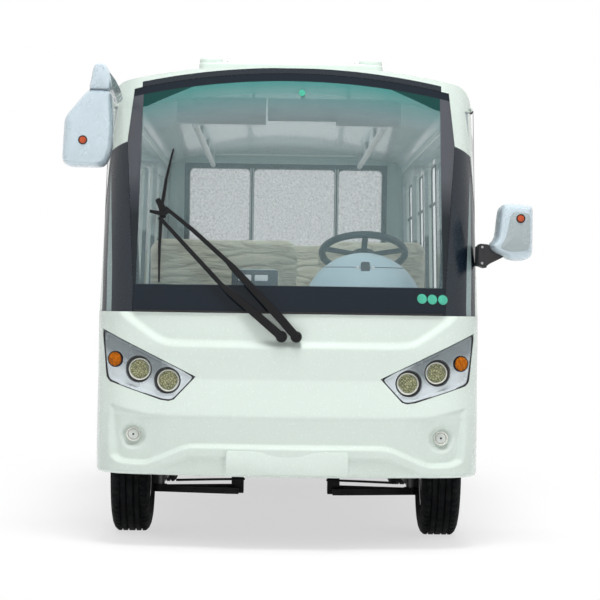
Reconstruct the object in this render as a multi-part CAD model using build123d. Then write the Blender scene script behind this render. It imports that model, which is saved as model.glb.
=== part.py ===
from build123d import *
from functools import cache
import math
import os

# Enclosed electric sightseeing bus, parked on its four wheels.
# Millimetres. The nose faces -Y, the driver's side is +X, the ground is Z = 0.
# The origin is on the ground, at the middle of the body.

# Overall sizes
BODY_LENGTH = 5100
BODY_HALF_WIDTH = 753
ROOF_Z = 1905
BELT_Z = 917
SKIRT_Z = 285
FLOOR_Z = 400
WHEELBASE = 2700
TYRE_R = 280
TYRE_WIDTH = 160
WALL = 40
FRONT_Y = -BODY_LENGTH / 2
REAR_Y = BODY_LENGTH / 2
INNER_HALF_WIDTH = BODY_HALF_WIDTH - WALL

# Play between a fixed piece and its seat, round a turning pin, and round a door
SEAT_PLAY = 0.3
PIVOT_PLAY = 0.3
DOOR_GAP = 6

# Plan of the body: bowed front, rounded corners
BOW_R = 2000
FRONT_CORNER_R = 200
REAR_CORNER_R = 110

# Body sections from the skirt to the belt: height, nose setback, half width
CREASE_Z = SKIRT_Z + 238
VALLEY_Z = BELT_Z - 257
LOWER_SECTIONS = [
    (SKIRT_Z, 16, BODY_HALF_WIDTH),
    (SKIRT_Z + 120, 0, BODY_HALF_WIDTH),
    (CREASE_Z, 2, BODY_HALF_WIDTH),
    (VALLEY_Z, 26, BODY_HALF_WIDTH),
    (BELT_Z - 140, 20, BODY_HALF_WIDTH),
    (BELT_Z, 24, BODY_HALF_WIDTH),
]
# The sunk band's floor on the nose: height, nose setback, half width
BAND_SECTIONS = [
    (SKIRT_Z, 36, BODY_HALF_WIDTH - 16),
    (SKIRT_Z + 120, 20, BODY_HALF_WIDTH - 16),
    (CREASE_Z, 2, BODY_HALF_WIDTH),
    (BELT_Z, 24, BODY_HALF_WIDTH),
]
# Body sections from the belt to above the roof: height, nose setback, half width
ROOF_SEAM_Z = ROOF_Z - 165
UPPER_SECTIONS = [
    (BELT_Z, 42, BODY_HALF_WIDTH),
    (ROOF_SEAM_Z, 231, BODY_HALF_WIDTH - 23),
    (ROOF_Z + 55, 282, BODY_HALF_WIDTH - 29),
]

# Roof shape
CROWN_R = 3500
SHOULDER_R = 90
SHOULDER_X = BODY_HALF_WIDTH - 27
ROOF_FRONT_DROP = 22
ROOF_FRONT_RUN = 1000
ROOF_REAR_DROP = 40
ROOF_REAR_RUN = 350

# Wheels: the axle stands at the tyre's radius
AXLE_FRONT_Y = FRONT_Y + 800
AXLE_REAR_Y = AXLE_FRONT_Y + WHEELBASE
AXLE_Z = TYRE_R
WHEEL_X = BODY_HALF_WIDTH - 117
STUB_R = 18
STUB_END = 12
HUB_CLEARANCE = 0.3
HUB_R = 45
HUB_BACK = 52
HUB_CAP = 18
DRUM_R = 105
DRUM_DEPTH = 50
DRUM_WALL = 8
BACKPLATE_X = WHEEL_X - 66
BACKPLATE_THICK = 6
BACKPLATE_R = DRUM_R - 6
BEAD_R = 160
RIM_HALF = TYRE_WIDTH / 2 - 18
RIM_FLANGE = 5
RIM_FLANGE_RISE = 12
RIM_FLANGE_DROP = 10
RIM_DISC_X = 2
DISC_THICK = 12
DISC_BULGE = 20
DISC_DROP = 45
VENT_COUNT = 8
VENT_RING_R = 88
VENT_R = 15
# Tyre section: distance in from the sidewall, distance in from the tread
TYRE_SECTION = [(0, 58), (3, 30), (12, 10), (26, 0)]
TYRE_BULGE_LOW = 38
WHEELS = [
    ("front_left", 1, AXLE_FRONT_Y),
    ("front_right", -1, AXLE_FRONT_Y),
    ("rear_left", 1, AXLE_REAR_Y),
    ("rear_right", -1, AXLE_REAR_Y),
]

# Wheel arches: a steered wheel needs the larger one
KINGPIN_X = WHEEL_X - 111
ARCH_FRONT_R = TYRE_R + 72
ARCH_REAR_R = TYRE_R + 42
HOUSING_THICK = 6
HOUSING_FRONT_IN = KINGPIN_X - 147
HOUSING_REAR_IN = WHEEL_X - 116
HOUSING_LOW_Z = FLOOR_Z - 70
WHEEL_SPACES = [
    (AXLE_FRONT_Y, ARCH_FRONT_R, HOUSING_FRONT_IN),
    (AXLE_REAR_Y, ARCH_REAR_R, HOUSING_REAR_IN),
]

# Panel seams along the body
ARCH_TO_SEAM = 48
FRONT_SEAM_Y = AXLE_FRONT_Y - ARCH_FRONT_R - ARCH_TO_SEAM
REAR_SEAM_Y = REAR_Y - 160

# Floor and chassis
FLOOR_THICK = 30
FLOOR_TOP_Z = FLOOR_Z + FLOOR_THICK
RAIL_WIDTH = 50
RAIL_HEIGHT = 60
RAIL_X = HOUSING_FRONT_IN - RAIL_WIDTH / 2 - 38
RAIL_IN = RAIL_X - RAIL_WIDTH / 2
RAIL_OUT = RAIL_X + RAIL_WIDTH / 2
RAIL_LOW_Z = FLOOR_Z - RAIL_HEIGHT
CROSS_DEPTH = 50
TOW_EYE_R = 34
TOW_HOLE_R = 16
TOW_EYE_THICK = 18
TOW_EYE_Z = FLOOR_Z - 28
TOW_EYE_REACH = 60

# Battery and motor
BATTERY_LENGTH = 900
BATTERY_HALF = RAIL_X + 15
BATTERY_LOW_Z = 200
BATTERY_CORNER_R = 20
MOTOR_CLEARANCE = 25
MOTOR_R = FLOOR_Z - AXLE_Z - MOTOR_CLEARANCE
MOTOR_LENGTH = 270
BULB_R = MOTOR_R + 4
NECK_R = MOTOR_R - 25
NECK_END = MOTOR_R + 12

# Crossmembers between the rails, clear of the battery and the rear axle
BATTERY_TO_CROSS = 50
CROSS_YS = [
    FRONT_Y + 250,
    AXLE_FRONT_Y + 250,
    -BATTERY_LENGTH / 2 - BATTERY_TO_CROSS,
    BATTERY_LENGTH / 2 + BATTERY_TO_CROSS,
    AXLE_REAR_Y + 500,
    REAR_Y - 250,
]

# Front subframe, arms and struts
SUBFRAME_HALF_LENGTH = RAIL_X + 30
SUBFRAME_HALF_DEPTH = 50
SUBFRAME_LOW_Z = AXLE_Z - 45
SUBFRAME_TOP_Z = AXLE_Z + 16
ARM_Z = AXLE_Z - 115
ARM_THICK = 26
ARM_ROOT_X = 195
ARM_EAR_X = 235
ARM_ROOT_SPREAD = 105
ARM_TIP_SPREAD = 30
ARM_HANGER_HALF = 25
ARM_HANGER_X = 200
BOSS_R = 30
BOSS_RISE = 4
STRUT_R = 22
POST_R = 20
POST_TOP_Z = AXLE_Z + 50
COLLAR_R = 34
COLLAR_END_X = WHEEL_X - 62

# Steering rack: its bar pushes the knuckles' arms
STEER_ARM = 120
STEER_ARM_X = KINGPIN_X - 20
STEER_ARM_HALF = 11
STEER_ARM_OVER = 14
STEER_ARM_LOW = 36
STEER_ARM_TOP = 15
TIE_Z = AXLE_Z - 26
RACK_R = 9
RACK_BORE_CLEARANCE = 0.3
RACK_HOUSING_HALF = 230
RACK_HOUSING_R = 24
RACK_EYE_R = 16
RACK_EYE_DOWN = 10
RACK_EYE_UP = 12
RACK_BRACKET_X = 165
RACK_BRACKET_HALF = 25
RACK_BRACKET_RISE = 15

# Rear axle on leaf springs
AXLE_TUBE_R = 36
SPRING_X = HOUSING_REAR_IN - 100
SPRING_HALF_WIDTH = 25
SPRING_SPAN = 780
SPRING_Z = AXLE_Z + AXLE_TUBE_R + 2
SPRING_END_Z = FLOOR_Z - 38
SPRING_THICK = 20
SPRING_TIP_THICK = 14
SPRING_PAD_HALF = 45
SPRING_PAD_IN = 2
SPRING_HANGER_HALF = 18
SPRING_HANGER_DROP = 10

# Doors: name, side, front edge, rear edge
DOOR_LOW_Z = SKIRT_Z + 35
DOOR_TOP_Z = ROOF_SEAM_Z - 50
DOOR_PILLAR = 80
CAB_DOOR_Y = AXLE_FRONT_Y + ARCH_FRONT_R + ARCH_TO_SEAM
CAB_DOOR_REAR_Y = CAB_DOOR_Y + 710
SALOON_DOOR_Y = CAB_DOOR_REAR_Y + DOOR_PILLAR
SALOON_DOOR_REAR_Y = SALOON_DOOR_Y + 750
DOORS = [
    ("driver", 1, CAB_DOOR_Y, CAB_DOOR_REAR_Y),
    ("front_passenger", -1, CAB_DOOR_Y, CAB_DOOR_REAR_Y),
    ("saloon", -1, SALOON_DOOR_Y, SALOON_DOOR_REAR_Y),
]
HINGE_ZS = [DOOR_LOW_Z + 150, BELT_Z - 67]
HINGE_OUT = 9
HINGE_PIN_R = 5
HINGE_BARREL_R = 8.7
HINGE_BARREL = 40
HINGE_LUG = 12
HINGE_PLAY = 0.3
HINGE_STRAP = 34
HINGE_PLATE = 5
HINGE_ROOT = 2
HINGE_FACE_PLAY = 0.5

# Side windows: one ahead of each cab door, and equal bays behind the doors
WINDOW_LOW_Z = BELT_Z + 48
WINDOW_TOP_Z = ROOF_SEAM_Z - 85
WINDOW_BAYS = 3
WINDOW_PILLAR = 90
REAR_PILLAR = 100
WINDOW_CORNER_R = 45
DOOR_WINDOW_MARGIN = 75
DOOR_WINDOW_DROP = 40
GLASS_THICK = 5
GLASS_INSET = 14

# Rear window
REAR_WINDOW_HALF = BODY_HALF_WIDTH - 173
REAR_WINDOW_LOW_Z = BELT_Z + 203
REAR_WINDOW_TOP_Z = ROOF_Z - 140
REAR_MULLION_XS = [-204, 305]
REAR_PANE_R = 30
MULLION_WIDTH = 18

# Windscreen outline: half width, height
SCREEN_OUTLINE = [
    (BODY_HALF_WIDTH - 141, BELT_Z),
    (BODY_HALF_WIDTH - 141, BELT_Z + 110),
    (BODY_HALF_WIDTH - 101, ROOF_Z - 314),
    (BODY_HALF_WIDTH - 125, ROOF_Z - 99),
]
SCREEN_TOP_Z = ROOF_Z - 37
SCREEN_REBATE = 8
SCREEN_FLANGE = 26
SCREEN_PLAY = 1
COVER_TOP_Z = ROOF_Z - 317
COVER_GAP = 3
COVER_REAR_Y = FRONT_Y + 262

# Nose: shallow recess under the windscreen, as half width and height
RECESS_DEPTH = 18
RECESS_OUTLINE = [
    (BODY_HALF_WIDTH - 93, BELT_Z + 10),
    (BODY_HALF_WIDTH - 113, BELT_Z - 12),
    (BODY_HALF_WIDTH - 211, BELT_Z - 84),
    (BODY_HALF_WIDTH - 273, BELT_Z - 120),
]
# Sunk band that widens round the fog lamps: half width, height
BAND_OUTLINE = [
    (BODY_HALF_WIDTH - 298, CREASE_Z - 2),
    (BODY_HALF_WIDTH - 210, CREASE_Z - 8),
    (BODY_HALF_WIDTH - 60, CREASE_Z + 29),
    (BODY_HALF_WIDTH - 65, SKIRT_Z + 67),
    (BODY_HALF_WIDTH - 105, SKIRT_Z + 49),
    (BODY_HALF_WIDTH - 205, SKIRT_Z + 46),
    (BODY_HALF_WIDTH - 295, SKIRT_Z + 87),
    (BODY_HALF_WIDTH - 367, SKIRT_Z + 117),
]
BAND_REAR_Y = FRONT_Y + 230
# Step in the lower lip, beside the number plate's panel: half width, height
PLATE_HALF = 237
PLATE_LOW_Z = SKIRT_Z + 7
PLATE_TOP_Z = SKIRT_Z + 103
PLATE_SETBACK = 6
PLATE_PAD_THICK = 34
LIP_DEPTH = 8
LIP_OUTLINE = [
    (PLATE_HALF, SKIRT_Z + 72),
    (PLATE_HALF + 149, SKIRT_Z + 72),
    (PLATE_HALF + 308, SKIRT_Z + 4),
    (PLATE_HALF + 308, SKIRT_Z - 5),
    (PLATE_HALF, SKIRT_Z - 5),
]
FOG_X = BODY_HALF_WIDTH - 141
FOG_Z = SKIRT_Z + 155
FOG_DISH_R = 54
FOG_DISH_DEPTH = 46
FOG_CUP_WALL = 4
FOG_BACK = 12
FOG_LENS_R = 25
FOG_TO_FLOOR = 3

# Headlamp outline: half width, height
LAMP_OUTLINE = [
    (BODY_HALF_WIDTH - 21, BELT_Z - 67),
    (BODY_HALF_WIDTH - 395, BELT_Z - 248),
    (BODY_HALF_WIDTH - 311, BELT_Z - 338),
    (BODY_HALF_WIDTH - 291, BELT_Z - 344),
    (BODY_HALF_WIDTH - 259, BELT_Z - 340),
    (BODY_HALF_WIDTH - 56, BELT_Z - 274),
    (BODY_HALF_WIDTH - 41, BELT_Z - 257),
]
LAMP_INSET = 5
LAMP_THICK = 32
LAMP_PLAY = 0.4
# Lamps: half width, height, rim radius
LAMPS = [
    (BODY_HALF_WIDTH - 283, BELT_Z - 265, 52),
    (BODY_HALF_WIDTH - 169, BELT_Z - 223, 52),
    (BODY_HALF_WIDTH - 75, BELT_Z - 186, 31),
]
LAMP_DISH_DEPTH = 12
LENS_MARGIN = 8
LENS_THICK = 9

# Tail lamps and rear bumper
TAIL_IN = BODY_HALF_WIDTH - 178
TAIL_OUT = BODY_HALF_WIDTH - 63
TAIL_LOW_Z = BELT_Z - 277
TAIL_TOP_Z = BELT_Z - 12
TAIL_THICK = 24
TAIL_PROUD = 6
TAIL_WRAP = 150
BUMPER_LOW_Z = SKIRT_Z + 15
BUMPER_TOP_Z = SKIRT_Z + 185
BUMPER_PROUD = 22
BUMPER_HALF = BODY_HALF_WIDTH - 113
BUMPER_EDGE_R = 9

# Seats: the cushions clear the rear wheel housings
SEAT_PITCH = 800
FIRST_BACK_Y = CAB_DOOR_Y + 350
BENCH_BACK_Y = REAR_Y - 190
BENCH_ROOM = 700
SALOON_ROWS = int((BENCH_BACK_Y - BENCH_ROOM - FIRST_BACK_Y) / SEAT_PITCH)
SEAT_BASE_Z = AXLE_Z + ARCH_REAR_R + HOUSING_THICK + 32
CUSHION_THICK = 120
CUSHION_DEPTH = 430
BACK_HEIGHT = 622
BACK_TOP_Z = SEAT_BASE_Z + BACK_HEIGHT
BACK_THICK = 90
BACK_LEAN = 9
SEAT_EDGE_R = 18
AISLE_X = -330
CAB_SEAT_OUT = INNER_HALF_WIDTH - 73
ROW_OUT = INNER_HALF_WIDTH - 53
# Seats: back's foot, low X, high X
FRONT_SEATS = [
    (FIRST_BACK_Y, 120, CAB_SEAT_OUT),
    (FIRST_BACK_Y, -CAB_SEAT_OUT, 60),
]
SALOON_SEATS = [(FIRST_BACK_Y + (i + 1) * SEAT_PITCH, AISLE_X, ROW_OUT) for i in range(SALOON_ROWS)]
SALOON_SEATS.append((BENCH_BACK_Y, -ROW_OUT, ROW_OUT))
BASE_OUT = HOUSING_REAR_IN - 25
BASE_INSET = 60
BASE_TOE = 140
BASE_HEEL = 12

# Dashboard, its dome over the instruments, and its console
DASH_TOP_Z = BELT_Z + 83
DASH_LOW_Z = AXLE_Z + ARCH_FRONT_R + HOUSING_THICK + 52
DASH_REAR_Y = FRONT_Y + 560
DASH_HALF = BODY_HALF_WIDTH - 63
DOME_X = 300
DOME_Y = FRONT_Y + 420
DOME_R = 232
DOME_TOP_Z = DASH_TOP_Z + 166
DOME_OVER = 80
CONSOLE_X = -138
CONSOLE_HALF = 92
CONSOLE_DEPTH = 180
CONSOLE_TOP_Z = DASH_TOP_Z + 92
CONSOLE_EDGE_R = 12

# Steering wheel and column: distances down the axis from the wheel's centre
WHEEL_CENTRE = (316, FRONT_Y + 900, BELT_Z + 258)
STEERING_R = 190
STEERING_RIM_R = 15
STEERING_TILT = 25
STEERING_HUB_R = 48
STEERING_HUB = 36
SPOKE_ANGLES = [-20, 200, 270]
SPOKE_WIDTH = 24
SPOKE_THICK = 12
COLUMN_R = 26
COLUMN_GAP = 6
COLUMN_TOP = 92
COLUMN_FOOT = 860
SLEEVE_R = 24
SLEEVE_TOP = 30
SHAFT_R = 12
SHAFT_DOWN = 150
SHAFT_END_PLAY = 8
BRACKET_DOWN = 300
BRACKET_HALF = 22
BRACKET_RISE = 15

# Mirrors: distances out from the body's side
MIRROR_RIGHT_REACH = 147
MIRROR_LEFT_REACH = 202
# The right mirror hangs from the roof: out from the side, down from the roof
MIRROR_RIGHT_OUTLINE = [
    (143, 238),
    (MIRROR_RIGHT_REACH, 400),
    (127, 424),
    (-5, 429),
    (-41, 405),
    (-55, 285),
    (-47, 129),
    (43, 127),
]
MIRROR_RIGHT_ARM = [(43, 135), (24, 39), (-5, 31), (-29, 37), (-85, 105), (-85, 145)]
# The left mirror stands at the belt: out from the side, up from the belt
MIRROR_LEFT_OUTLINE = [
    (97, 454),
    (79, 433),
    (62, 318),
    (92, 249),
    (105, 225),
    (159, 220),
    (193, 232),
    (MIRROR_LEFT_REACH, 383),
    (198, 435),
    (182, 454),
]
MIRROR_LEFT_ARM = [(-53, 290), (-11, 290), (87, 288), (87, 253), (32, 205), (-9, 192), (-53, 192)]
# Mirrors: shell front, shell rear, arm front and arm rear behind the nose, edge radius
MIRROR_RIGHT_YS = (20, 165, 70, 440, 16)
MIRROR_LEFT_YS = (140, 275, 190, 330, 14)

# Wiper: pivot X, knee and head as X and height above the belt; the blade likewise
WIPER_PIVOT_Z = BELT_Z - 88
WIPER_STANDOFF = 16
WIPER_BAR = 11
KNEE_OVER = 0.4
WIPER_LINK_R = 7
WIPER_JOINT_R = 7.5
WIPER_SPINDLE = 40
WIPER_CAP = 8
WIPER_CAP_R = 17
WIPER_ARMS = [
    (-26, (-250, 175), (-486, 428)),
    (26, (-235, 145), (-508, 373)),
]
WIPER_BLADE = [(-462, 643), (-505, 404), (-505, 117)]
WIPER_KNEE_OFF = 12
WIPER_HEAD_OFF = 6
WIPER_BLADE_OFF = -4

# Roof pod
POD_HALF = 405
POD_FRONT_Y = FRONT_Y + 1300
POD_LENGTH = 1150
POD_TOP_Z = ROOF_Z + 113
POD_LOBE_TOP_Z = ROOF_Z + 133
POD_LOBE = 105
POD_SUNK = 60
POD_CORNER_R = 40
POD_EDGE_R = 14
LOBE_INSET = 2

# Cabin fittings: sun visors as low and high X, cabin mirror, grab rails
VISORS = [(-458, -102), (178, 438)]
VISOR_LOW_Z = ROOF_Z - 235
VISOR_TOP_Z = ROOF_Z - 127
VISOR_BEHIND = 110
VISOR_THICK = 12
VISOR_ROD_IN = 50
VISOR_ROD_R = 6
CABIN_MIRROR_X = 45
CABIN_MIRROR_HALF = 140
CABIN_MIRROR_BEHIND = 40
CABIN_MIRROR_THICK = 22
CABIN_MIRROR_LOW = 20
CABIN_MIRROR_HIGH = 110
CABIN_MIRROR_ROD_R = 8
GRAB_X = 430
GRAB_Z = ROOF_Z - 140
GRAB_FRONT_Y = FIRST_BACK_Y + 100
GRAB_REAR_Y = BENCH_BACK_Y - 160
GRAB_R = 15
GRAB_POST_R = 10
GRAB_POSTS = 4
GRAB_POST_IN = 60

# Planes beyond the body, for cutters
WIDE = BODY_HALF_WIDTH + 60
ABOVE = ROOF_Z + 50
AHEAD = FRONT_Y - 100
BEHIND = REAR_Y + 100


def save(solid, name):
    """Write one node, named as its file."""
    solid.label = name
    export_step(solid, f"parts/{name}.step")


def block(x0, x1, y0, y1, z0, z1):
    """A box from its six limits."""
    middle = Pos((x0 + x1) / 2, (y0 + y1) / 2, (z0 + z1) / 2)
    return middle * Box(abs(x1 - x0), abs(y1 - y0), abs(z1 - z0))


def rod_x(x0, x1, y, z, r):
    """A cylinder along X."""
    return Pos((x0 + x1) / 2, y, z) * Rot(0, 90, 0) * Cylinder(r, abs(x1 - x0))


def rod_y(x, y0, y1, z, r):
    """A cylinder along Y."""
    return Pos(x, (y0 + y1) / 2, z) * Rot(90, 0, 0) * Cylinder(r, abs(y1 - y0))


def rod_z(x, y, z0, z1, r):
    """A cylinder along Z."""
    return Pos(x, y, (z0 + z1) / 2) * Cylinder(r, z1 - z0)


def rod(p0, p1, r):
    """A cylinder between two points."""
    start = Vector(*p0)
    run = Vector(*p1) - start
    foot = (Align.CENTER, Align.CENTER, Align.MIN)
    return Plane(origin=start, z_dir=run) * Cylinder(r, run.length, align=foot)


def front_prism(points, y0, y1):
    """A prism along Y over an outline given as X, Z pairs."""
    face = Plane.XZ * make_face(Polyline(*points, close=True))
    return extrude(face, amount=-(y1 - y0)).moved(Location((0, y0, 0)))


def mirrored(points):
    """A closed outline from its right half, given from one end on the middle to the other."""
    return points + [(-x, z) for x, z in reversed(points)]


def both_sides(solid):
    """The solid and its mirror image across the middle plane."""
    return [solid, mirror(solid, about=Plane.YZ)]


def joined(solids):
    """One shape from several solids."""
    total = solids[0]
    for solid in solids[1:]:
        total = total + solid
    return total


def plan_section(z, setback, half, inset):
    """One closed plan outline of the body, drawn in from the skin by the inset."""
    nose = FRONT_Y + setback + inset
    rear = REAR_Y - inset
    w = half - inset
    bow = BOW_R - inset
    rc = FRONT_CORNER_R - inset
    rr = REAR_CORNER_R - inset
    xc = w - rc
    yc = nose + bow - math.sqrt((bow - rc) ** 2 - xc ** 2)
    reach = math.hypot(xc, nose + bow - yc)
    ux = xc / reach
    uy = (yc - nose - bow) / reach
    xt = xc + rc * ux
    yt = yc + rc * uy
    turn = math.atan2(uy, ux) / 2
    xm = xc + rc * math.cos(turn)
    ym = yc + rc * math.sin(turn)
    xr = w - rr
    yr = rear - rr
    k = rr * math.sqrt(0.5)
    edges = [
        ThreePointArc((-xt, yt), (0, nose), (xt, yt)),
        ThreePointArc((xt, yt), (xm, ym), (w, yc)),
        Line((w, yc), (w, yr)),
        ThreePointArc((w, yr), (xr + k, yr + k), (xr, rear)),
        Line((xr, rear), (-xr, rear)),
        ThreePointArc((-xr, rear), (-xr - k, yr + k), (-w, yr)),
        Line((-w, yr), (-w, yc)),
        ThreePointArc((-w, yc), (-xm, ym), (-xt, yt)),
    ]
    return Pos(0, 0, z) * make_face(edges)


def roof_profile(inset):
    """The body's cross section seen from the front, along the whole length."""
    crown = CROWN_R - inset
    shoulder = SHOULDER_R - inset
    xs = SHOULDER_X - inset
    xc = xs - shoulder
    top = ROOF_Z - inset
    zc = top - crown + math.sqrt((crown - shoulder) ** 2 - xc ** 2)
    rise = zc - (top - crown)
    reach = math.hypot(xc, rise)
    xt = xc + shoulder * xc / reach
    zt = zc + shoulder * rise / reach
    turn = math.atan2(rise, xc) / 2
    xm = xc + shoulder * math.cos(turn)
    zm = zc + shoulder * math.sin(turn)
    foot = ROOF_SEAM_Z - SHOULDER_R / 2
    edges = [
        ThreePointArc((-xt, zt), (0, top), (xt, zt)),
        ThreePointArc((xt, zt), (xm, zm), (xs, zc)),
        Polyline((xs, zc), (WIDE, foot), (WIDE, SKIRT_Z)),
        Line((WIDE, SKIRT_Z), (-WIDE, SKIRT_Z)),
        Polyline((-WIDE, SKIRT_Z), (-WIDE, foot), (-xs, zc)),
        ThreePointArc((-xs, zc), (-xm, zm), (-xt, zt)),
    ]
    face = Plane.XZ * make_face(edges)
    return extrude(face, amount=BEHIND, both=True)


def roof_side(inset):
    """The roof line seen from the side, across the whole width."""
    top = ROOF_Z - inset
    front_fall = ROOF_FRONT_DROP * (FRONT_Y + ROOF_FRONT_RUN - AHEAD) / ROOF_FRONT_RUN
    rear_fall = ROOF_REAR_DROP * (BEHIND - REAR_Y + ROOF_REAR_RUN) / ROOF_REAR_RUN
    points = [
        (AHEAD, SKIRT_Z),
        (AHEAD, top - front_fall),
        (FRONT_Y + ROOF_FRONT_RUN, top),
        (REAR_Y - ROOF_REAR_RUN, top),
        (BEHIND, top - rear_fall),
        (BEHIND, SKIRT_Z),
    ]
    face = Plane.YZ * make_face(Polyline(*points, close=True))
    return extrude(face, amount=WIDE, both=True)


def hull(sections, inset):
    """The body's solid outline between the section heights, drawn in by the inset."""
    faces = [plan_section(z, setback, half, inset) for z, setback, half in sections]
    return loft(faces, ruled=True)


@cache
def upper_hull(inset):
    """The greenhouse with the crowned roof."""
    return hull(UPPER_SECTIONS, inset) & roof_profile(inset) & roof_side(inset)


@cache
def lower_hull(inset):
    """The body from the skirt to the belt."""
    return hull(LOWER_SECTIONS, inset)


def skin_y(sections, x, z):
    """The skin's Y on the front at a place seen from the front."""
    for low, high in zip(sections, sections[1:]):
        if z <= high[0]:
            break
    share = (z - low[0]) / (high[0] - low[0])
    nose = FRONT_Y + low[1] + (high[1] - low[1]) * share
    half = low[2] + (high[2] - low[2]) * share
    xc = half - FRONT_CORNER_R
    yc = nose + BOW_R - math.sqrt((BOW_R - FRONT_CORNER_R) ** 2 - xc ** 2)
    if abs(x) < xc * BOW_R / (BOW_R - FRONT_CORNER_R):
        return nose + BOW_R - math.sqrt(BOW_R ** 2 - x ** 2)
    return yc - math.sqrt(FRONT_CORNER_R ** 2 - (abs(x) - xc) ** 2)


def bent_rod(points, r):
    """Round bar through a list of points."""
    runs = [rod(a, b, r) for a, b in zip(points, points[1:])]
    balls = [Pos(*p) * Sphere(r + KNEE_OVER) for p in points[1:-1]]
    return joined(runs + balls)


def slab(outer, inner, cutter):
    """The part of a shell that lies in a cutter."""
    return (outer & cutter) - inner


def side_opening(side, y0, y1, z0, z1, r):
    """A cutter with rounded corners through one side wall."""
    face = Plane.YZ * Pos((y0 + y1) / 2, (z0 + z1) / 2) * RectangleRounded(y1 - y0, z1 - z0, r)
    start = INNER_HALF_WIDTH - 2 * WALL
    solid = extrude(face, amount=WIDE - start).moved(Location((start, 0, 0)))
    return solid if side > 0 else mirror(solid, about=Plane.YZ)


# Chassis rails under the floor
def chassis_rails():
    y0 = CROSS_YS[0] - CROSS_DEPTH / 2
    y1 = CROSS_YS[-1] + CROSS_DEPTH / 2
    top = FLOOR_Z - SEAT_PLAY
    rails = [block(side * RAIL_IN, side * RAIL_OUT, y0, y1, RAIL_LOW_Z, top) for side in (1, -1)]
    return Compound(children=rails)


# Crossmembers between the rails, of which the rear one carries the tow eye
def chassis_crossmembers():
    top = FLOOR_Z - SEAT_PLAY
    half = CROSS_DEPTH / 2
    crosses = [block(-RAIL_IN, RAIL_IN, y - half, y + half, RAIL_LOW_Z, top) for y in CROSS_YS]
    eye_y = CROSS_YS[-1] + half + TOW_EYE_REACH
    eye_low = TOW_EYE_Z - TOW_EYE_THICK
    tongue = block(-TOW_EYE_R, TOW_EYE_R, CROSS_YS[-1], eye_y, eye_low, TOW_EYE_Z)
    head = rod_z(0, eye_y, eye_low, TOW_EYE_Z, TOW_EYE_R)
    hole = rod_z(0, eye_y, eye_low - TOW_EYE_THICK, TOW_EYE_Z + TOW_EYE_THICK, TOW_HOLE_R)
    crosses[-1] = crosses[-1] + tongue + head - hole
    return Compound(children=crosses)


# Front subframe with the lower arms and rack housing, and a strut over each knuckle
def front_suspension():
    y = AXLE_FRONT_Y
    y0 = y - SUBFRAME_HALF_DEPTH
    y1 = y + SUBFRAME_HALF_DEPTH
    half = SUBFRAME_HALF_LENGTH
    rack_y = y + STEER_ARM
    pieces = [block(-half, half, y0, y1, SUBFRAME_LOW_Z, SUBFRAME_TOP_Z)]
    for side in (1, -1):
        pieces.append(block(side * RAIL_IN, side * RAIL_OUT, y0, y1, SUBFRAME_TOP_Z, RAIL_LOW_Z - SEAT_PLAY))
        x0 = side * (ARM_HANGER_X - ARM_HANGER_HALF)
        x1 = side * (ARM_HANGER_X + ARM_HANGER_HALF)
        pieces.append(block(x0, x1, y0, y1, ARM_Z, SUBFRAME_LOW_Z))
        outline = [
            (side * ARM_ROOT_X, y - ARM_ROOT_SPREAD),
            (side * ARM_EAR_X, y - ARM_ROOT_SPREAD),
            (side * KINGPIN_X, y - ARM_TIP_SPREAD),
            (side * KINGPIN_X, y + ARM_TIP_SPREAD),
            (side * ARM_EAR_X, y + ARM_ROOT_SPREAD),
            (side * ARM_ROOT_X, y + ARM_ROOT_SPREAD),
        ]
        plate = extrude(make_face(Polyline(*outline, close=True)), amount=ARM_THICK)
        pieces.append(Pos(0, 0, ARM_Z) * plate)
        pieces.append(rod_z(side * KINGPIN_X, y, ARM_Z, ARM_Z + ARM_THICK + BOSS_RISE, BOSS_R))
        x0 = side * (RACK_BRACKET_X - RACK_BRACKET_HALF)
        x1 = side * (RACK_BRACKET_X + RACK_BRACKET_HALF)
        rise = RACK_BRACKET_RISE
        pieces.append(block(x0, x1, y1 - rise, rack_y, TIE_Z - rise, TIE_Z + rise))
    pieces.append(rod_x(-RACK_HOUSING_HALF, RACK_HOUSING_HALF, rack_y, TIE_Z, RACK_HOUSING_R))
    bore = rod_x(-half, half, rack_y, TIE_Z, RACK_R + RACK_BORE_CLEARANCE)
    lower = joined(pieces) - bore
    top = AXLE_Z + math.sqrt(ARCH_FRONT_R ** 2 - STRUT_R ** 2) - SEAT_PLAY
    foot = POST_TOP_Z + PIVOT_PLAY
    struts = [rod_z(side * KINGPIN_X, y, foot, top, STRUT_R) for side in (1, -1)]
    return Compound(children=[lower] + struts)


# Knuckle of one side, with its stub, brake plate and steering arm
def knuckle(side):
    y = AXLE_FRONT_Y
    low = ARM_Z + ARM_THICK + BOSS_RISE + PIVOT_PLAY
    x0 = side * (STEER_ARM_X - STEER_ARM_HALF)
    x1 = side * (STEER_ARM_X + STEER_ARM_HALF)
    arm_end = y + STEER_ARM + STEER_ARM_OVER
    return joined([
        rod_z(side * KINGPIN_X, y, low, POST_TOP_Z, POST_R),
        rod_x(side * KINGPIN_X, side * (WHEEL_X + STUB_END), y, AXLE_Z, STUB_R),
        rod_x(side * KINGPIN_X, side * COLLAR_END_X, y, AXLE_Z, COLLAR_R),
        rod_x(side * BACKPLATE_X, side * (BACKPLATE_X + BACKPLATE_THICK), y, AXLE_Z, BACKPLATE_R),
        block(x0, x1, y, arm_end, TIE_Z - STEER_ARM_LOW, TIE_Z - STEER_ARM_TOP),
    ])


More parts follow.
